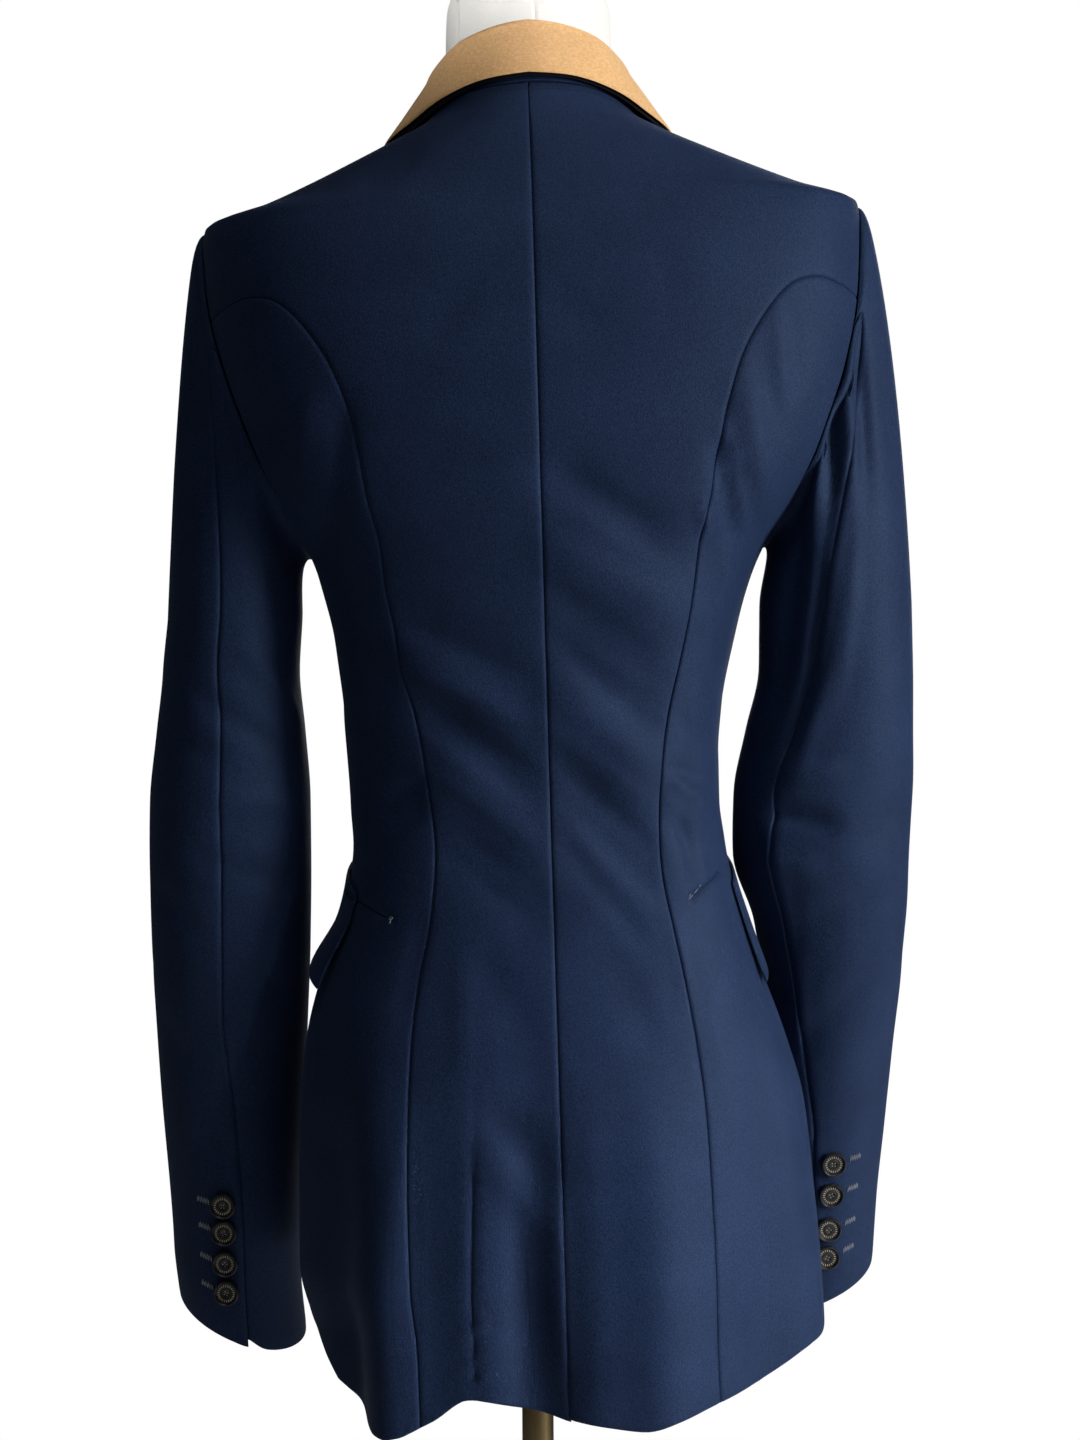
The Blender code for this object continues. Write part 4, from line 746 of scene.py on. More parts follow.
def turn_at_depth(y, z):
    """The turn of the point of the body's left side that lies at y."""
    middle, square = BODY["middle"](z), BODY["square"](z)
    depth = np.where(y > middle, BODY["back"](z) - middle, BODY["front"](z) + middle)
    cosine = (y - middle) / depth
    for _ in range(TURN_PASSES):
        cosine = (y - middle) / depth / (1 + square * (1 - cosine ** 2))
    return np.arccos(np.clip(cosine, -1, 1))


def flat(turn, z):
    """A place on the cloth as a point of the plane the panels are laid out in.

    The plane is stretched at the shoulders, where the cloth lies almost level.
    """
    z = np.asarray(z, float)
    level = np.where(z > SHOULDER_LEVEL,
                     SHOULDER_LEVEL + (z - SHOULDER_LEVEL) * SHOULDER_STRETCH, z)
    return np.stack((np.asarray(turn, float) * PLANE_RADIUS, level), axis=-1)


def unflat(places):
    """The turn and level of points of that plane."""
    level = places[..., 1]
    z = np.where(level > SHOULDER_LEVEL,
                 SHOULDER_LEVEL + (level - SHOULDER_LEVEL) / SHOULDER_STRETCH, level)
    return places[..., 0] / PLANE_RADIUS, z


def by_turn(rows):
    turn, z = np.asarray(rows, float).T
    return flat(np.radians(turn), z)


def by_width(rows, front=False):
    x, z = np.asarray(rows, float).T
    return flat(turn_at_width(x, z, front), z)


def armhole_points(detail):
    """The armhole from its top round the back, the foot and the front, in the plane."""
    z, back, front = np.array(ARMHOLE, float).T
    back, front = flat(turn_at_depth(back, z), z), flat(turn_at_depth(front, z), z)
    loop = np.vstack((back, front[-2:0:-1]))
    fine = smooth_path(np.vstack((loop[-2:], loop, loop[:3])), detail)
    return fine[2 * detail:(2 + len(loop)) * detail]


def seams(hand, step, detail):
    """The named seams and edges of one half, each with its points shared by its pieces."""
    hole = armhole_points(detail)
    side_at, front_at = PRINCESS_ROW * detail, len(hole) - FRONT_SEAM_ROW * detail
    hem_z = smooth_steps(*zip(*HEM[hand]))

    def curve(*rows):
        return resample(smooth_path(np.vstack(rows)), step)

    def hem_run(start, end):
        turns = np.linspace(start, end, 24)
        return resample(flat(np.radians(turns), hem_z(turns)), step * 0.55)

    foot_turn = turn_at_width(*PRINCESS_FOOT)
    degrees = math.degrees(foot_turn)
    front_foot = by_turn(HEM[hand][-1:])
    neck = curve(by_turn(NECK_LINE))
    at = int(np.argmin(np.abs(neck[:, 0] - math.pi / 2 * PLANE_RADIUS)))
    edge = curve(neck[-1], by_width(FRONT_ROLL[1:], front=True), by_turn(FRONT_EDGE[::-1]))
    corner = curve(by_turn(FRONT_EDGE[:1]), by_turn(FRONT_HEM[::-1]), front_foot)
    return {
        "centre": resample(np.vstack((flat(0, 0), flat(0, hem_z(0)))), step),
        "princess": curve(hole[side_at], by_width(BACK_PRINCESS), flat(foot_turn, hem_z(degrees))),
        "front": curve(hole[front_at], by_turn(FRONT_SEAM), front_foot),
        "neck_back": neck[:at + 1], "neck_front": neck[at:],
        "shoulder": resample(np.vstack((neck[at], hole[0])), step / 2),
        "opening": np.vstack((edge, corner[1:])),
        "hem_back": hem_run(0, degrees), "hem_side": hem_run(degrees, HEM[hand][-1][0]),
        "armhole": hole, "arm_back": hole[:side_at + 1], "arm_side": hole[side_at:front_at + 1],
        "arm_front": np.vstack((hole[front_at:], hole[:1])),
    }


def inset(loop, distance):
    """A closed outline drawn in by a distance. It runs the way its area is positive."""
    before, after = unit(loop - np.roll(loop, 1, axis=0)), unit(np.roll(loop, -1, axis=0) - loop)
    inward = (before + after)[:, ::-1] * (-1, 1)
    length = np.linalg.norm(inward, axis=1, keepdims=True)
    return loop + inward / length * distance / np.clip(length / 2, 0.35, 1)


def area_of(loop):
    other = np.roll(loop, -1, axis=0)
    return 0.5 * np.sum(loop[:, 0] * other[:, 1] - other[:, 0] * loop[:, 1])


def inside_of(points, loop):
    """Which points lie inside a closed outline."""
    inside = np.zeros(len(points), bool)
    for (ax, ay), (bx, by) in zip(loop, np.roll(loop, -1, axis=0)):
        crosses = (ay > points[:, 1]) != (by > points[:, 1])
        reach = (bx - ax) * (points[:, 1] - ay) / (by - ay + 1e-12) + ax
        inside ^= crosses & (points[:, 0] < reach)
    return inside


def distance_to(points, loop, closed=True):
    """How far each point lies from an outline, or from a path that isn't closed."""
    best = np.full(len(points), np.inf)
    count = len(loop) if closed else len(loop) - 1
    for a, b in zip(loop[:count], np.roll(loop, -1, axis=0)[:count]):
        run = b - a
        t = np.clip(((points - a) @ run) / max(run @ run, 1e-9), 0, 1)
        best = np.minimum(best, np.linalg.norm(points - a - t[:, None] * run, axis=1))
    return best


def triangulate(loop, step, inner_lines):
    """Fill an outline with even triangles. Inner lines become edges of them."""
    (x0, y0), (x1, y1) = loop.min(axis=0), loop.max(axis=0)
    rise = step * ROW_RISE
    lattice = []
    for i, y in enumerate(np.arange(y0 + rise / 2, y1, rise)):
        shift = step / 2 * (i % 2)
        lattice += [(x, y) for x in np.arange(x0 + step / 4 + shift, x1, step)]
    lattice = np.array(lattice)
    keep = inside_of(lattice, loop) & (distance_to(lattice, loop) > OFF_EDGES * step)
    for line in inner_lines:
        keep &= distance_to(lattice, line, closed=False) > OFF_LINES * step
    points = [Vector(p) for p in loop]
    edges = []
    for line in inner_lines:
        first = len(points)
        points += [Vector(p) for p in line]
        edges += [(i, i + 1) for i in range(first, len(points) - 1)]
    points += [Vector(p) for p in lattice[keep]]
    result = delaunay_2d_cdt(points, edges, [list(range(len(loop)))], 1, 1e-5)
    return np.array([tuple(v) for v in result[0]]), [tuple(f) for f in result[2]]


def lift_of_lap(turn, z):
    """How far the lapping front stands off the body, by its turn and level."""
    near_edge = ease_between(np.abs(np.degrees(turn)), LAP_FROM, LAP_FULL)
    return LAP_LIFT * near_edge * ease_between(z, *LAP_TOP)


def make_mesh(name, points, faces, material, smooth_angle=50.0):
    """One named piece of the dressed part, from points in the scene's metres."""
    mesh = bpy.data.meshes.new(name)
    mesh.from_pydata([tuple(p) for p in points], [], [tuple(f) for f in faces])
    mesh.validate()
    mesh.materials.append(materials[material])
    mesh.shade_smooth()
    mesh.set_sharp_from_angle(angle=math.radians(smooth_angle))
    piece = bpy.data.objects.new(name, mesh)
    collection.objects.link(piece)
    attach(piece, "root")
    return piece


def face_outward(piece):
    """Turns every face of a closed piece to its outside."""
    mesh = bmesh.new()
    mesh.from_mesh(piece.data)
    bmesh.ops.recalc_face_normals(mesh, faces=mesh.faces)
    mesh.to_mesh(piece.data)
    mesh.free()


def ring_faces(rings, count, capped):
    """The faces between rings of as many points each, and over both ends where capped."""
    faces = []
    for base in range(0, (rings - 1) * count, count):
        for i in range(count):
            a, b = base + i, base + (i + 1) % count
            faces.append((a, b, b + count, a + count))
    if capped:
        faces.append(tuple(reversed(range(count))))
        faces.append(tuple(range((rings - 1) * count, rings * count)))
    return faces


def seam_ditch(places, runs):
    """The cloth sinks into each seam and swells a little beside it."""
    depth = np.zeros(len(places))
    pucker = np.sin(places[:, 0] * 0.31 + places[:, 1] * 0.47) + np.sin(places[:, 1] * 0.83)
    for run in runs:
        away = distance_to(places, run, closed=False)
        depth -= DITCH_DEPTH * bell(away, DITCH_WIDTH)
        depth += SWELL * (1 + pucker) * bell(away - SWELL_AT, SWELL_WIDTH)
    return depth


def fine_sheet(hand, loop, ditch_runs, inner_lines=(), lap=False, slit=None):
    """The fine triangles of a panel, with the places of its points and its outer face."""
    loop = inset(loop if area_of(loop) > 0 else loop[::-1], -EDGE_OUT)
    beside = [inset(loop, distance) for distance in EDGE_ROWS]
    beside = [np.vstack((line, line[:1])) for line in beside]
    places, faces = triangulate(loop, FINE_STEP, beside + list(inner_lines))
    turn, z = unflat(places)
    turn = turn * SIDES[hand]
    normal = normals_of(body, turn, z)
    lift = seam_ditch(places, ditch_runs)
    if slit is not None:
        lift = lift - SLIT_DEPTH * bell(distance_to(places, slit, closed=False), DITCH_WIDTH)
    if lap:
        lift = lift + lift_of_lap(turn, z)
    if hand == "left":
        faces = [face[::-1] for face in faces]
    outer = fine_body(turn, z) + normal * lift[:, None]
    return {"places": places, "faces": faces, "outer": outer, "normal": normal}


def shell(name, sheet, within=None, low=0.0, thickness=WALL, stand=None):
    """A thin shell of cloth: a whole fine panel, or a piece within an outline that lies on it."""
    faces = sheet["faces"]
    if within is not None:
        centres = np.array([sheet["places"][list(face)].mean(axis=0) for face in faces])
        faces = [face for face, keep in zip(faces, inside_of(centres, within)) if keep]
    kept = sorted({i for face in faces for i in face})
    new = {old: i for i, old in enumerate(kept)}
    faces = [tuple(new[i] for i in face) for face in faces]
    outer, normal, places = (sheet[key][kept] for key in ("outer", "normal", "places"))
    raised = np.full(len(kept), low)
    if stand is not None:
        raised = raised + stand(places)
    top, bottom = (raised, raised - thickness) if within is None else (raised + thickness, raised)
    return fine_wall(name, outer + normal * top[:, None], outer + normal * bottom[:, None], faces,
                     normal)


def fine_wall(name, outer, inner, faces, normal):
    """A closed shell of the coat's cloth whose rim is a little rounded."""
    count = len(outer)
    used = set()
    for face in faces:
        used.update(zip(face, face[1:] + face[:1]))
    open_edges = [(a, b) for a, b in used if (b, a) not in used]
    rim = sorted({i for edge in open_edges for i in edge})
    place = {old: i for i, old in enumerate(rim)}
    middle = (outer[rim] + inner[rim]) / 2
    outward = np.zeros((len(rim), 3))
    for a, b in open_edges:
        side = np.cross(outer[b] - outer[a], normal[a])
        outward[place[a]] += side
        outward[place[b]] += side
    outward /= np.maximum(np.linalg.norm(outward, axis=1, keepdims=True), 1e-9)
    shift = np.linalg.norm(outer[rim] - inner[rim], axis=1, keepdims=True) * EDGE_ROUND
    middle = middle + outward * 0.1
    outer, inner = outer.copy(), inner.copy()
    outer[rim] -= outward * shift * 0.5 + normal[rim] * shift * 0.3
    inner[rim] -= outward * shift * 0.5 - normal[rim] * shift * 0.3
    all_faces = list(faces) + [tuple(i + count for i in face[::-1]) for face in faces]
    for a, b in open_edges:
        ma, mb = 2 * count + place[a], 2 * count + place[b]
        all_faces += [(b, a, ma, mb), (mb, ma, a + count, b + count)]
    return make_mesh(name, world(np.vstack((outer, inner, middle))), all_faces, "navy")


def declare(piece, node):
    """Hides the CAD node that a cloth piece stands for. Half the surface of a shell is the area of
    its cloth.
    """
    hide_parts(node)


def dress_body():
    """Backs, side panels, fronts, flaps and lapels as thin shells."""
    top, edge = by_width(LAPEL_TOP, front=True), by_width(LAPEL_EDGE, front=True)
    lapel_line = resample(np.vstack((top, edge)), FINE_STEP)
    crease, crease_top, crease_foot = PRESSED_CREASE[:3]
    ends = np.array((crease - CREASE_LEAN * (crease_top - crease_foot), crease))
    pressed = [resample(flat(np.radians(ends + beside), (crease_top, crease_foot)), 3.0)
               for beside in (-0.7, 0.0, 0.7)]
    for hand in SIDES:
        runs = seams(hand, FINE_STEP, FINE_DETAIL)
        flap = by_turn(FLAP_CORNERS[hand])
        slit = resample(by_width(POCKET_SLIT[hand]), 2.0)
        first, last = (runs["opening"][np.argmin(np.linalg.norm(runs["opening"] - end, axis=1))]
                       for end in (top[0], edge[-1]))
        lapel_loop = (first, lapel_line, last, last + LAPEL_REACH, first + LAPEL_REACH)

        def panel(name, **extras):
            keys, sewn, cut = PANELS[name]
            loop = np.vstack([runs[key.strip("-")][::-1 if key[0] == "-" else 1][:-1]
                              for key in keys.split()])
            sheet = fine_sheet(hand, loop, [runs[key] for key in sewn.split()], **extras)
            declare(shell("coat_%s_%s" % (name, hand), sheet),
                    "%s_%s" % (name, hand))
            return sheet

        def stand(places):
            level = np.interp(places[:, 0], flap[:2, 0], flap[:2, 1])
            share = np.clip((level - places[:, 1]) / FLAP_HEIGHT, 0, 1)
            return FLAP_STAND[hand] * share ** 1.4

        panel("back", inner_lines=pressed if hand == "left" else ())
        flap_line = resample(np.vstack((flap, flap[:1])), FINE_STEP)
        lips = [slit + (0, SLIT_LIP), slit, slit - (0, SLIT_LIP)]
        sheet = panel("side", inner_lines=[flap_line] + lips, slit=slit)
        piece = shell("pocket_flap_%s_cloth" % hand, sheet, flap, FLAP_GAP, FLAP_WALL, stand)
        declare(piece, "pocket_flap_" + hand)
        sheet = panel("front", inner_lines=[lapel_line], lap=hand == "right")
        piece = shell("lapel_%s_cloth" % hand, sheet, np.vstack(lapel_loop), LAPEL_GAP, LAPEL_WALL)
        declare(piece, "lapel_" + hand)


def sleeve_point(hand, turn, z):
    """A point of the sleeve's tube, by its turn from the outside towards the back."""
    tube, top, end = TUBES[hand], SLEEVES[hand][0][0], SLEEVES[hand][-1][0]
    x = tube["x"](z) + tube["half_x"](z) * np.cos(turn)
    y = tube["y"](z) + tube["half_y"](z) * np.sin(turn)
    share = np.clip((top - z) / (top - end), 0, 1) ** 3
    level = z + share * (CUFF_RISE[hand] * np.cos(turn) - CUFF_DROP[hand] * np.sin(turn))
    return np.stack((SIDES[hand] * x, y, level), axis=-1)


def tube_normal(hand, turns, levels):
    """Unit normals of the sleeve's tube, pointing out."""
    return -SIDES[hand] * normals_of(lambda turn, z: sleeve_point(hand, turn, z), turns, levels,
                                     (0.01, 1.0))


def tube_ring(hand, z, count):
    """A ring of the sleeve's tube at a level, with both seams on points of their own."""
    keys = (0, HINDARM_AT, count // 2, count - FOREARM_AT, count)
    turns = (0, float(TUBES[hand]["seam"](z)), 180, FOREARM_TURN, 360)
    turns = np.radians(np.interp(np.arange(count), keys, turns))
    return sleeve_point(hand, turns, np.full(count, z))


def sleeve_grid(hand):
    """Rings of points from the armhole to the cuff: an array of rings by points by xyz."""
    side = SIDES[hand]
    turn, z = unflat(armhole_points(SLEEVE_DETAIL))
    turn = turn * side
    start, normal = body(turn, z), normals_of(body, turn, z)
    along = np.roll(start, -1, axis=0) - np.roll(start, 1, axis=0)
    away = unit(np.cross(normal, along) * side)
    away = away * np.sign(np.sum(away * (start.mean(axis=0) - start), axis=1, keepdims=True) + 1e-9)
    top_z, foot_z = SLEEVES[hand][0][0], SLEEVES[hand][-1][0]
    end = tube_ring(hand, top_z, len(turn))
    height = (start[:, 2] - end[:, 2])[:, None]
    low = ease_between(height, *HEAD_LOW)
    first = start + away * SEAM_GAP
    lead = first + np.array((side, 0, 0.05)) * (5 + HEAD_SWELL * (1 - low)) + away * 6 * low
    settle = end + np.array((0, 0, 1.0)) * (0.6 * height * (1 - low) + HEAD_DROP * low)
    settle = settle - np.array((side, 0, 0)) * SLEEVE_HEAD_IN[hand] * (1 - low)
    rings = [first * (1 - t) ** 3 + 3 * lead * t * (1 - t) ** 2 + 3 * settle * t * t * (1 - t)
             + end * t ** 3 for t in HEAD_STEPS]
    for level in np.linspace(top_z, foot_z, TUBE_STEPS + 1):
        rings.append(tube_ring(hand, level, len(turn)))
    return np.array(rings)


def grid_normals(grid, side):
    """Normals of a grid that closes on itself round each ring."""
    around = np.roll(grid, -1, axis=1) - np.roll(grid, 1, axis=1)
    return unit(np.cross(around, np.gradient(grid, axis=0)) * -side)


def slide(ring, centre, amount):
    """Moves a ring's points along it, most at one column, so that a seam runs elsewhere."""
    count = len(ring)
    column = np.arange(count)
    away = (column - centre + count / 2) % count - count / 2
    place = column + amount * bell(away, 2.6 * SLEEVE_DETAIL)
    before = np.floor(place).astype(int)
    share = (place - before)[:, None]
    return ring[before % count] * (1 - share) + ring[(before + 1) % count] * share


def sleeve_relief(hand, grid):
    """The folds of a sleeve and its ditches along the seams, as a height on its outer face."""
    x, y, z = np.moveaxis(grid, -1, 0)
    tube, level = TUBES[hand], np.clip(z, SLEEVES[hand][-1][0], SLEEVES[hand][0][0])
    turns = np.arctan2((y - tube["y"](level)) / tube["half_y"](level),
                       (SIDES[hand] * x - tube["x"](level)) / tube["half_x"](level))
    degrees = np.degrees(np.mod(turns, 2 * math.pi))
    relief = 0 * degrees
    for turn1, z1, turn2, z2, width, depth in SLEEVE_FOLDS[hand]:
        relief = relief + streak(degrees * SLEEVE_DEGREE, z, turn1 * SLEEVE_DEGREE, z1,
                                 turn2 * SLEEVE_DEGREE, z2, width, depth)
    rings, count = z.shape
    ring = np.arange(rings)[:, None]
    relief = relief * np.clip(ring / FOLDS_FROM_RING, 0, 1)
    relief = relief + HEAD_ROLL * bell(ring - HEAD_ROLL_RING, HEAD_ROLL_RINGS)
    for seam in (HINDARM_AT, count - FOREARM_AT):
        relief = relief - SLEEVE_DITCH * bell(np.arange(count) - seam, 0.4)
    return relief[..., None]


def sleeve_cloth(hand):
    """A sleeve's outer face, its seam bowed and its underarm settled, and its normals."""
    side, grid = SIDES[hand], sleeve_grid(hand)
    for row, share in enumerate(HEAD_STEPS):
        amount = SEAM_BOW[hand] * SLEEVE_DETAIL * math.sin(math.pi * share ** 0.8)
        grid[row] = slide(grid[row], HINDARM_AT, amount)
    underarm = ease_between(grid[0, :, 2], UNDERARM_TOP, UNDERARM_TOP - 40)
    grid = grid + grid_normals(grid, side) * sleeve_relief(hand, grid)
    settled = slice(1, UNDERARM_ROWS)
    for _ in range(UNDERARM_PASSES):
        near = (np.roll(grid, 1, axis=1) + np.roll(grid, -1, axis=1))[settled]
        near = near + grid[:UNDERARM_ROWS - 1] + grid[2:UNDERARM_ROWS + 1]
        grid[settled] += (near / 4 - grid[settled]) * 0.6 * underarm[None, :, None]
    tuck = unit(grid[0] - grid[1])
    grid[0] += (tuck - grid_normals(grid, side)[0]) * 0.5
    return grid, grid_normals(grid, side)


def dress_sleeves():
    """Both sleeves in two pieces each, with their mock vents."""
    for hand, side in SIDES.items():
        grid, normal = sleeve_cloth(hand)
        count, foot = grid.shape[1], SLEEVES[hand][-1][0]
        spans = {"sleeve_top": (count - FOREARM_AT, count + HINDARM_AT),
                 "sleeve_under": (HINDARM_AT, count - FOREARM_AT)}
        for name, (first, last) in spans.items():
            part = [i % count for i in range(first, last + 1)]
            outer, facing = grid[:, part].copy(), normal[:, part]
            for at, beside in ((0, 1), (-1, -2)):
                outer[:, at] -= unit(outer[:, beside] - outer[:, at]) * EDGE_OUT
            if name == "sleeve_top":
                vent = ease_between(outer[:, -1, 2], VENT_TOP[hand], VENT_TOP[hand] - VENT_FADE)
                for back, share in enumerate(VENT_SHARES, start=1):
                    outer[:, -back] += facing[:, -back] * (VENT_LIFT * share * vent)[:, None]
            else:
                low = ease_between(outer[..., 2], foot + VENT_STEP_FADE, foot)
                outer[..., 2] += VENT_STEP * low * bell(np.arange(len(part)), 0.9 * SLEEVE_DETAIL)
            width = len(part)
            faces = []
            for a in range((len(outer) - 1) * width):
                if (a + 1) % width:
                    face = (a, a + 1, a + 1 + width, a + width)
                    faces.append(face if side < 0 else face[::-1])
            outer, facing = outer.reshape(-1, 3), facing.reshape(-1, 3)
            node = "%s_%s" % (name, hand)
            piece = fine_wall(node + "_cloth", outer, outer - facing * WALL, faces, facing)
            declare(piece, node)


def collar_sections():
    """The collar's rows for each station from the left end to the right."""
    rows = smooth_path(COLLAR, 8)
    stations = np.linspace(0, len(rows) - 1, COLLAR_STATIONS + 1)
    half = points_at(rows, np.arange(len(rows)), stations)
    mirrored = half[:0:-1] * np.array((-1, 1, 1, 1, -1, 1, 1))
    return np.vstack((mirrored, half))[::-1]


def collar_path(row):
    """The middle line of the collar's section: up the stand, over the roll, down the fall."""
    foot_turn, foot_z, inward, up, edge_turn, edge_z, lift = row
    foot_at = np.radians(foot_turn), np.asarray(foot_z, float)
    edge_at = np.radians(edge_turn), np.asarray(edge_z, float)
    foot = body(*foot_at)
    across = body(*edge_at) + normals_of(body, *edge_at) * lift - foot
    lying = ease_between(abs(foot_turn), *COLLAR_LIES_FLAT)
    upward = unit(np.array((0, 0, 1.0)) * (1 - lying) + normals_of(body, *foot_at) * lying)
    outward = foot * (1, 1, 0) / np.linalg.norm(foot[:2]) * (1 - lying) + unit(across) * lying
    outward = unit(outward - upward * (outward @ upward))
    reach, rise = float(across @ outward), float(across @ upward)
    sideways = across - outward * reach - upward * rise
    width = min(ROLL_HALF_WIDTH, up * ROLL_WIDTH_SHARE)
    roll = np.array((-inward, up)) + width * np.array(ROLL_PROFILE)
    start, end = np.array(COLLAR_FOOT), np.array((reach, rise))
    fall = [roll[-1] * (1 - share) + end * share + (bulge, bulge * 0.6)
            for share, bulge in COLLAR_FALL]
    line = np.vstack((start, start + (roll[0] - start) * COLLAR_STAND, roll, fall, end))
    return line, foot, outward, upward, sideways


def offset_line(line, distance):
    """A section's line moved towards the hollow of the roll."""
    run = unit(np.gradient(line, axis=0))
    return line + np.stack((run[:, 1], -run[:, 0]), axis=1) * distance


def fine_strip(name, material, centre_offset, thickness, extra, foot_drop, foot_share):
    """A strip of felt that follows the collar's section all the way round the neck."""
    loops = []
    for row in collar_sections():
        line, foot, outward, upward, sideways = collar_path(row)
        middle = offset_line(line, centre_offset)
        end = unit(middle[-1] - middle[-2])
        middle[-1] += end * extra * (0.2 + 1.3 * ease_between(row[0], 20, 80))
        middle[0] -= (0, foot_drop)
        middle = smooth_path(middle, 5)
        at = np.linspace(0, len(COLLAR_SHIFT) - 1, len(middle))
        shift = np.interp(at, np.arange(len(COLLAR_SHIFT)), COLLAR_SHIFT)[:, None]
        run = np.linspace(0, 1, len(middle))
        thick = thickness * (1 - FELT_THINS * bell(1 - run, 0.012))[:, None]
        tip = middle[-1:] + end * thickness * FELT_THINS
        made = [foot + outward * p[:, :1] + upward * p[:, 1:] + sideways * shift[-len(p):]
                for p in (offset_line(middle, -thick / 2), tip, offset_line(middle, thick / 2))]
        loops.append(np.vstack((made[0], made[1], made[2][::-1])))
    count = len(loops[0])
    faces = ring_faces(len(loops), count, capped=False)
    for base, forward in ((0, False), ((len(loops) - 1) * count, True)):
        for i in range(count // 2):
            a, b = base + i, base + i + 1
            j, k = base + count - 1 - i, base + count - 2 - i
            face = (a, b, k, j) if k != b else (a, b, j)
            faces.append(face if forward else face[::-1])
    piece = make_mesh(name, world(np.vstack(loops)), faces, material)
    piece.data.materials.append(materials["navy"])
    limit = int(foot_share * count / 2)
    for polygon in piece.data.polygons:
        places = [v % count for v in polygon.vertices]
        if max(min(p, count - 1 - p) for p in places) < limit:
            polygon.material_index = 1
    face_outward(piece)
    return piece


def dress_collar():
    for name, node, rests_on, material, *shape in FELTS:
        piece = fine_strip(name, material, *shape)
        declare(piece, node)


def tube_mesh(points, radius):
    """Points and faces of a thread with closed ends, its path in world metres."""
    run = unit(np.gradient(points, axis=0))
    first = unit(np.cross(run, (0.31, 0.22, 0.92)))
    second = np.cross(run, first)
    turn = np.linspace(0, 2 * math.pi, THREAD_SIDES, endpoint=False)[:, None]
    swell = np.ones((len(points), 1, 1))
    swell[[0, -1]] = 0.45
    rings = points[:, None] + radius * swell * (
        first[:, None] * np.cos(turn) + second[:, None] * np.sin(turn))
    return rings.reshape(-1, 3), ring_faces(len(points), THREAD_SIDES, capped=True)


def threads(name, paths, radius, material):
    """Many short threads as one piece."""
    points, faces = [], []
    base = 0
    for path in paths:
        made, found = tube_mesh(path, radius)
        points.append(made)
        faces += [tuple(i + base for i in face) for face in found]
        base += len(made)
    make_mesh(name, np.vstack(points), faces, material)


def arch(low, high, count):
    """Heights of a stitch along it, low at both ends."""
    return (low + high * np.sin(np.linspace(0, math.pi, count)))[:, None]


def on_body(places, hand, lift):
    """World points on the body's outer face, at places of the plane."""
    turn, z = unflat(np.asarray(places, float))
    turn = turn * SIDES[hand]
    facing = normals_of(body, turn, z)
    rest = fine_body(turn, z)
    if hand == "right":
        rest = rest + facing * lift_of_lap(turn, z)[:, None]
    return world(rest + facing * lift)


def dress_stitches():
    """Topstitching beside the neck seam, basting at the pockets and the cuffs' buttonholes."""
    paths = []
    for hand in SIDES:
        line = seams(hand, 3.0, 2)["neck_back"] - (0, STITCH_INSET)
        run = length_along(line)
        for start in np.arange(0, run[-1] - STITCH_LENGTH, STITCH_PITCH):
            places = points_at(line, run, start + np.linspace(0, STITCH_LENGTH, 5))
            paths.append(on_body(places, hand, arch(0.12, 0.22, 5)))
    threads("neck_topstitch", paths, TOPSTITCH_RADIUS, "thread_navy")
    for hand in SIDES:
        end = by_width(POCKET_SLIT[hand])[0]
        paths = [on_body(np.linspace(end + start, end + stop, 7), hand, arch(0.3, 0.35, 7))
                 for start, stop in POCKET_BASTING[hand]]
        threads("pocket_basting_" + hand, paths, BASTING_RADIUS, "thread_pale")
    for hand in SIDES:
        paths = []
        for level in CUFF_BUTTON_LEVELS[hand]:
            for k in range(BUTTONHOLE_STITCHES):
                turns = np.full(4, math.radians(BUTTONHOLE_TURN[hand] - k * BUTTONHOLE_PITCH))
                levels = np.linspace(level - 1.5, level + 1.5, 4) + (0.4 if k % 2 else -0.4)
                facing = tube_normal(hand, turns, levels)
                paths.append(world(sleeve_point(hand, turns, levels) + facing * arch(0.15, 0.3, 4)))
        threads("cuff_buttonholes_" + hand, paths, BUTTONHOLE_RADIUS, "thread_pale")


def lathe(profile, sides):
    """Points and faces of a turned form about Z, its profile from the top centre to the foot."""
    points, faces, rings = [], [], []
    for r, z in profile:
        turns = np.linspace(0, 2 * math.pi, sides, endpoint=False) if r > 1e-6 else (0.0,)
        rings.append(list(range(len(points), len(points) + len(turns))))
        points += [(r * math.cos(a), r * math.sin(a), z) for a in turns]
    for upper, lower in zip(rings[:-1], rings[1:]):
        for i in range(sides):
            j = (i + 1) % sides
            if len(upper) == 1:
                faces.append((upper[0], lower[i], lower[j]))
            elif len(lower) == 1:
                faces.append((upper[i], lower[0], upper[j]))
            else:
                faces.append((upper[i], lower[i], lower[j], upper[j]))
    return np.array(points, float), faces


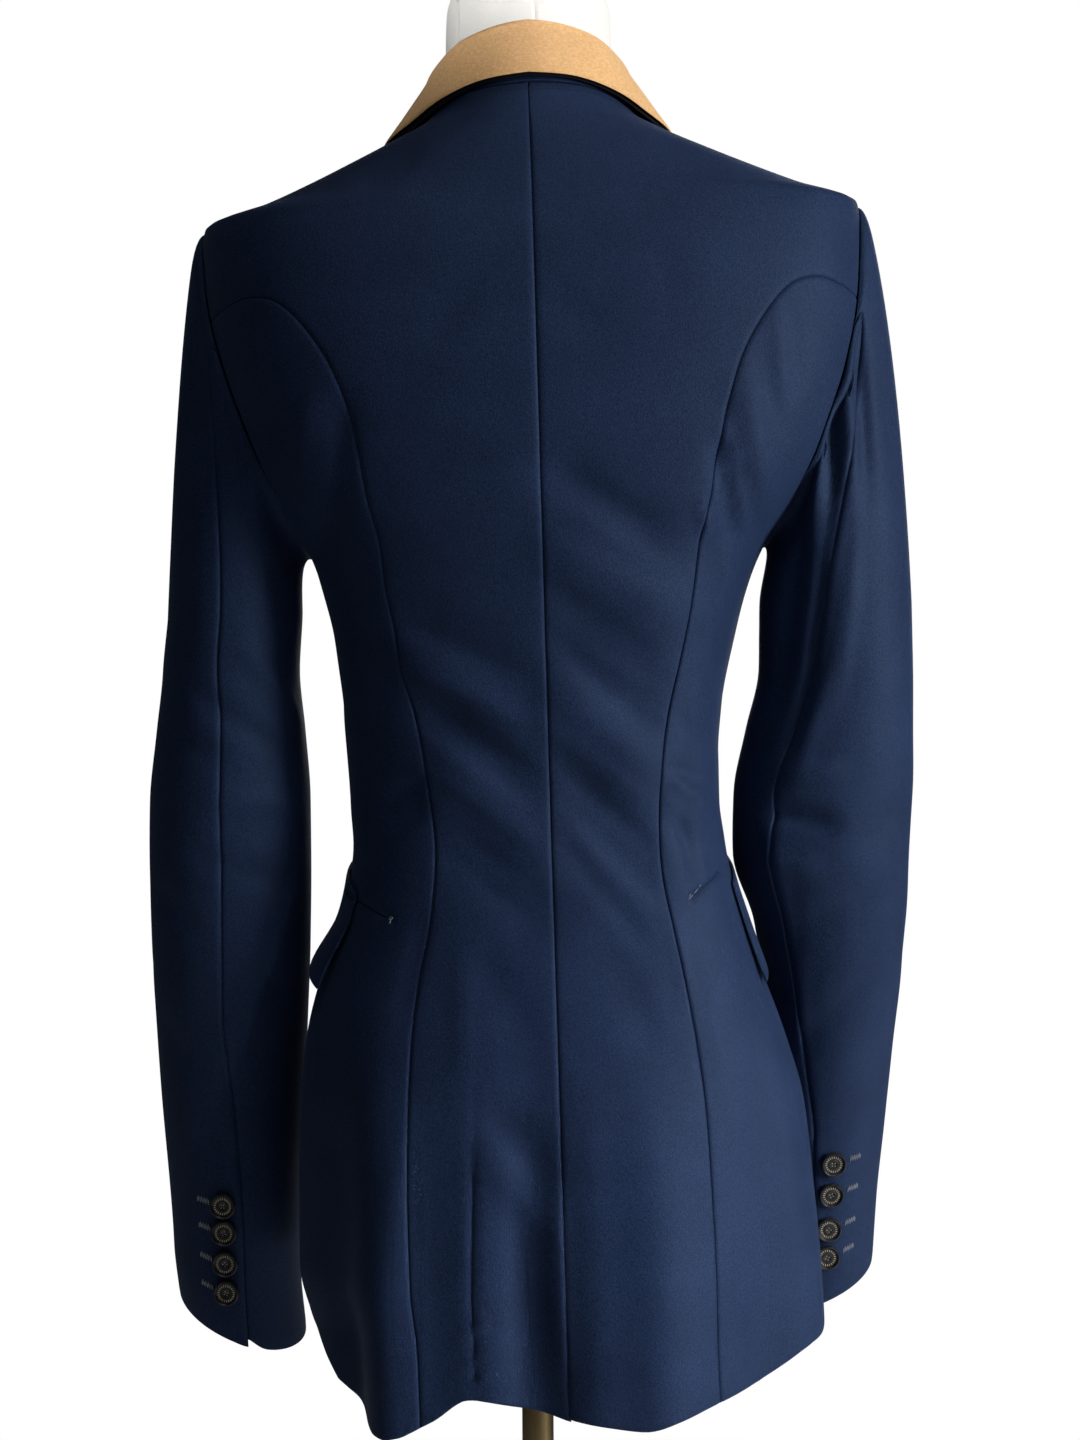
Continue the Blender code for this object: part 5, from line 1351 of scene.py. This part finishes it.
def dress_button(name, number, size, point, normal):
    """A dished button with a bright ring and a plain circle of dashes, facing a normal."""
    r, t = size["radius"], size["thickness"]
    points, faces = lathe([(r * across, t * up) for across, up in BUTTON_PROFILE], BUTTON_SIDES)
    slots = [0] * len(faces)
    for count, first, near, far, half in BUTTON_MARKS:
        for k in range(count):
            turn = k * 2 * math.pi / count + first + number * 0.4
            box = [(radius * math.cos(turn + offset), radius * math.sin(turn + offset), height)
                   for radius in (r * near, r * far) for offset in (-half, half)
                   for height in (t * 0.56, t * 0.68)]
            faces += [tuple(len(points) + i for i in face) for face in BOX_FACES]
            slots += [1] * len(BOX_FACES)
            points = np.vstack((points, box))
    quat = Vector(normal).normalized().to_track_quat("Z", "Y").to_matrix()
    placed = points @ np.array(quat).T * MM + point + normal * BUTTON_CLEARANCE * MM
    piece = make_mesh(name + "_metal", placed, faces, "button", 35.0)
    piece.data.materials.append(materials["button_gold"])
    for polygon, slot in zip(piece.data.polygons, slots):
        polygon.material_index = slot
    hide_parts(name)


def dress_buttons():
    """The cuffs' buttons and the front's, on their CAD places."""
    for hand in SIDES:
        for number, level in enumerate(CUFF_BUTTON_LEVELS[hand], start=1):
            at = np.array([math.radians(CUFF_BUTTON_TURN)]), np.array([float(level)])
            dress_button("cuff_button_%s_%d" % (hand, number), number, CUFF_BUTTON,
                         world(sleeve_point(hand, *at))[0], tube_normal(hand, *at)[0])
    for number, level in enumerate(FRONT_BUTTON_LEVELS, start=1):
        at = np.array([math.radians(-180.0)]), np.array([float(level)])
        facing = normals_of(body, *at)[0]
        dress_button("front_button_%d" % number, number, FRONT_BUTTON,
                     world(body(*at)[0] + facing * LAP_LIFT), facing)


def form_ring(z, turn):
    """One section of the form's body, as wide as the narrower side of the coat lets it be."""
    half = min(float(BODY["left"](z) + LEAN * z), float(BODY["right"](z) - LEAN * z))
    half = half - WALL - FORM["side"](z)
    ring = section(turn, z, half, BODY["middle"](z) * 0.7, WALL + FORM["depth"](z))
    ring[:, 2] -= (WALL + FORM_DROP) * (z > FORM_DROP_ENDS)
    return ring


def dress_form():
    """The form's body and neck in one cover, smooth, with sewn seams."""
    turn = np.linspace(0, 2 * math.pi, FORM_SIDES, endpoint=False)
    sine, cosine = np.sin(turn), np.cos(turn)
    rings = [np.stack((half_x * sine, half_y * cosine - forward, z + 0 * turn), axis=-1)
             for z, half_x, half_y, forward in smooth_path(sorted(NECK, reverse=True), 5)]
    levels = np.concatenate((np.linspace(FORM_TOP, -70, 16), np.linspace(-76, FORM_FOOT, 110)))
    rings = np.array(rings + [form_ring(float(z), turn) for z in levels])
    wobble = FORM_WOBBLE * np.sin(rings[:, :, 2] / FORM_WOBBLE_PITCH)
    groove = 0 * wobble
    for seam in FORM_SEAMS:
        groove = groove - FORM_GROOVE * bell(wrapped(np.degrees(turn) - seam - wobble),
                                             FORM_GROOVE_WIDTH)
    outward = rings * (1, 1, 0)
    outward[..., 1] -= rings[..., 1].mean(axis=1, keepdims=True)
    rings = rings + unit(outward) * groove[..., None]
    down = -rings[..., 2]
    tilt = tilt_at(-down) * ease_between(down, *FORM_TILTS_FROM)
    tilt = tilt * (1 - ease_between(down, *FORM_TILTS_TO))
    rings[..., 2] += NAPE_HEIGHT - tilt * rings[..., 0]
    faces = ring_faces(len(rings), FORM_SIDES, capped=True)
    piece = make_mesh("form_cover", rings.reshape(-1, 3) * MM, faces, "form_cloth")
    face_outward(piece)
    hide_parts("form_torso")


def dress_turned(name, node, profile, low, slot, forward=0.0):
    """A turned piece of the stand, smoother than its solid."""
    points, faces = lathe(profile, TURNED_SIDES)
    piece = make_mesh(name, (points + (0.0, -forward, low)) * MM, faces, slot, 35.0)
    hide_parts(node)


def dress_stand():
    """The neck's lid, the plate under the form, the pole with its sleeve, and the base."""
    radius, thick = NECK_CAP["radius"], NECK_CAP["thickness"]
    profile = ((0, thick + 0.6), (radius * 0.6, thick + 0.4), (radius - 3.4, thick),
               (radius - 1.6, thick - 0.6), (radius - 0.5, thick - 1.8), (radius, thick - 3.4),
               (radius, 0.4), (radius - 0.5, 0), (0, 0))
    dress_turned("form_neck_lid", "form_neck_cap", profile, NAPE_HEIGHT + NECK[-1][0] + SEAM_GAP,
                 "form_cloth", NECK[-1][3])
    radius, thick = FORM_PLATE["radius"], FORM_PLATE["thickness"]
    low = NAPE_HEIGHT + FORM_FOOT - SEAM_GAP - thick
    profile = ((0, thick), (radius - 1, thick), (radius, thick - 1), (radius, 1.2),
               (radius - 1.2, 0), (0, 0))
    dress_turned("form_plate_metal", "form_plate", profile, low, "metal")
    radius, length = POLE_SLEEVE["radius"], POLE_SLEEVE["length"]
    low = low - SEAM_GAP - length
    profile = ((0, length), (radius, length), (radius, 6), (radius - 0.6, 5.2), (radius - 0.6, 3.4),
               (radius, 2.6), (radius, 0.8), (radius - 0.8, 0), (0, 0))
    dress_turned("pole_sleeve_metal", "pole_sleeve", profile, low, "metal")
    thick, hub = BASE_THICKNESS, BASE_HUB["radius"]
    top = thick + BASE_HUB["height"]
    height = low - SEAM_GAP - (top + SEAM_GAP)
    profile = ((0, height), (POLE_RADIUS, height), (POLE_RADIUS, 0), (0, 0))
    dress_turned("pole_metal", "pole", profile, top + SEAM_GAP, "metal")
    profile = ((0, top), (hub * 0.60, top), (hub * 0.66, top - 0.8), (hub * 0.7, top - 3),
               (hub * 0.76, top - 12), (hub * 0.88, top - 22), (hub, thick + 5),
               (hub + 3, thick + 2), (hub + 8, thick + 0.3), (hub + 14, thick),
               (BASE_RADIUS - 3.4, thick),
               (BASE_RADIUS - 1.2, thick - 0.7), (BASE_RADIUS - 0.3, thick - 2),
               (BASE_RADIUS, thick - 3.4), (BASE_RADIUS, 0.6), (BASE_RADIUS - 0.6, 0), (0, 0))
    dress_turned("base_metal", "base", profile, 0.0, "base")


def noise(material, scale, detail, roughness=0.5, stretch=(1, 1, 1)):
    """A noise texture in the object's own metres."""
    nodes, links = material.node_tree.nodes, material.node_tree.links
    place = nodes.new("ShaderNodeTexCoord")
    mapping = nodes.new("ShaderNodeMapping")
    mapping.inputs["Scale"].default_value = stretch
    texture = nodes.new("ShaderNodeTexNoise")
    texture.inputs["Scale"].default_value = scale
    texture.inputs["Detail"].default_value = detail
    texture.inputs["Roughness"].default_value = roughness
    links.new(place.outputs["Object"], mapping.inputs["Vector"])
    links.new(mapping.outputs["Vector"], texture.inputs["Vector"])
    return texture.outputs["Fac"]


def ramp(material, source, *stops):
    """A colour ramp from a source, its stops as (position, colour)."""
    node = material.node_tree.nodes.new("ShaderNodeValToRGB")
    material.node_tree.links.new(source, node.inputs["Fac"])
    elements = node.color_ramp.elements
    elements[0].position, elements[1].position = stops[0][0], stops[-1][0]
    elements[0].color, elements[1].color = (*stops[0][1], 1), (*stops[-1][1], 1)
    for position, colour in stops[1:-1]:
        elements.new(position).color = (*colour, 1)
    return node.outputs["Color"]


def make_material(name, colour, roughness, noises, tint, metallic=0.0, sockets=None, speckle=None,
                  varied=None, bumps=()):
    """A material with its plain values on the shader's own sockets.

    A noise tints it. Where given, another speckles it, one varies its roughness, and some are
    bumps, each with a distance in metres and a strength.
    """
    material = bpy.data.materials.new(name)
    material.use_nodes = True
    nodes, links = material.node_tree.nodes, material.node_tree.links
    node = nodes["Principled BSDF"]
    plain = {"Base Color": (*colour, 1), "Roughness": roughness, "Metallic": metallic}
    for socket, value in {**plain, **(sockets or {})}.items():
        node.inputs[socket].default_value = value
    made = {key: noise(material, *values) for key, values in noises.items()}
    shade = ramp(material, made[tint[0]], *tint[1:])
    if speckle:
        blend = nodes.new("ShaderNodeMix")
        blend.data_type = "RGBA"
        blend.blend_type = "MULTIPLY"
        blend.inputs["Factor"].default_value = 1.0
        links.new(shade, blend.inputs[6])
        links.new(ramp(material, made[speckle[0]], *speckle[1:]), blend.inputs[7])
        shade = blend.outputs[2]
    links.new(shade, node.inputs["Base Color"])
    if varied:
        remap = nodes.new("ShaderNodeMapRange")
        remap.inputs["To Min"].default_value = varied[1]
        remap.inputs["To Max"].default_value = varied[2]
        links.new(made[varied[0]], remap.inputs["Value"])
        links.new(remap.outputs["Result"], node.inputs["Roughness"])
    end = node.inputs["Normal"]
    for source, distance, strength in reversed(bumps):
        layer = nodes.new("ShaderNodeBump")
        layer.inputs["Distance"].default_value = distance
        layer.inputs["Strength"].default_value = strength
        links.new(made[source], layer.inputs["Height"])
        links.new(layer.outputs["Normal"], end)
        end = layer.inputs["Normal"]
    return material


def make_materials():
    """The cloths, felts, metals and threads."""
    looks = dict(LOOKS)
    for key, colour in THREAD_COLOURS.items():
        dark = tuple(c * 0.7 for c in colour)
        looks[key] = {
            "name": key, "colour": colour, "roughness": 0.7, "noises": {"twist": (3000, 2)},
            "sockets": {"Sheen Weight": 0.04, "Sheen Roughness": 0.4},
            "tint": ("twist", (0.3, dark), (0.7, colour)), "bumps": (("twist", 0.0001, 0.5),),
        }
    return {key: make_material(**look) for key, look in looks.items()}


def area_light(name, place, aim, size, power, spread):
    """A soft rectangular light that shines from a place to an aim."""
    data = bpy.data.lights.new(name, "AREA")
    data.shape = "RECTANGLE"
    data.size, data.size_y = size
    data.energy = power
    data.spread = math.radians(spread)
    lamp = bpy.data.objects.new(name, data)
    bpy.context.scene.collection.objects.link(lamp)
    lamp.location = place
    lamp.rotation_euler = (Vector(aim) - Vector(place)).to_track_quat("-Z", "Y").to_euler()


def set_stage():
    """A pale floor, soft studio light and the photograph's camera."""
    scene = bpy.context.scene
    mesh = bpy.data.meshes.new("floor")
    points, faces = lathe(((0, 0), (FLOOR_RADIUS, 0)), 96)
    mesh.from_pydata([tuple(p) for p in points], [], faces)
    floor = bpy.data.objects.new("floor", mesh)
    scene.collection.objects.link(floor)
    floor.location.z = -0.0005
    mesh.materials.append(make_material(**FLOOR_LOOK))
    for row in LIGHTS:
        area_light(*row)
    scene.world = bpy.data.worlds.new("studio")
    scene.world.use_nodes = True
    nodes, links = scene.world.node_tree.nodes, scene.world.node_tree.links
    mix = nodes.new("ShaderNodeMixShader")
    links.new(nodes.new("ShaderNodeLightPath").outputs["Is Camera Ray"], mix.inputs["Fac"])
    shades = ((nodes.new("ShaderNodeBackground"), AMBIENT), (nodes["Background"], BACKDROP))
    for socket, (shade, (colour, strength)) in enumerate(shades, start=1):
        shade.inputs["Color"].default_value = colour
        shade.inputs["Strength"].default_value = strength
        links.new(shade.outputs["Background"], mix.inputs[socket])
    links.new(mix.outputs["Shader"], nodes["World Output"].inputs["Surface"])
    data = bpy.data.cameras.new("photo_camera")
    data.sensor_width = SENSOR
    data.sensor_fit = "AUTO"
    data.lens = CAMERA_FOCAL / CAMERA_LONG_SIDE * SENSOR
    data.clip_end = 50.0
    camera = bpy.data.objects.new("photo_camera", data)
    scene.collection.objects.link(camera)
    camera.location = CAMERA_PLACE
    ahead = Vector((0, -1, 0)).to_track_quat("-Z", "Y").to_matrix()
    roll = Matrix.Rotation(-math.radians(CAMERA_ROLL), 3, "Z")
    camera.rotation_euler = (ahead @ roll).to_euler()
    scene.camera = camera
    scene.view_settings.view_transform = "Standard"


materials = make_materials()
collection = bpy.data.collections.new("dressed_part")
bpy.context.scene.collection.children.link(collection)
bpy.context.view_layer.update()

dress_body()
dress_sleeves()
dress_collar()
dress_stitches()
dress_buttons()
dress_form()
dress_stand()
set_stage()
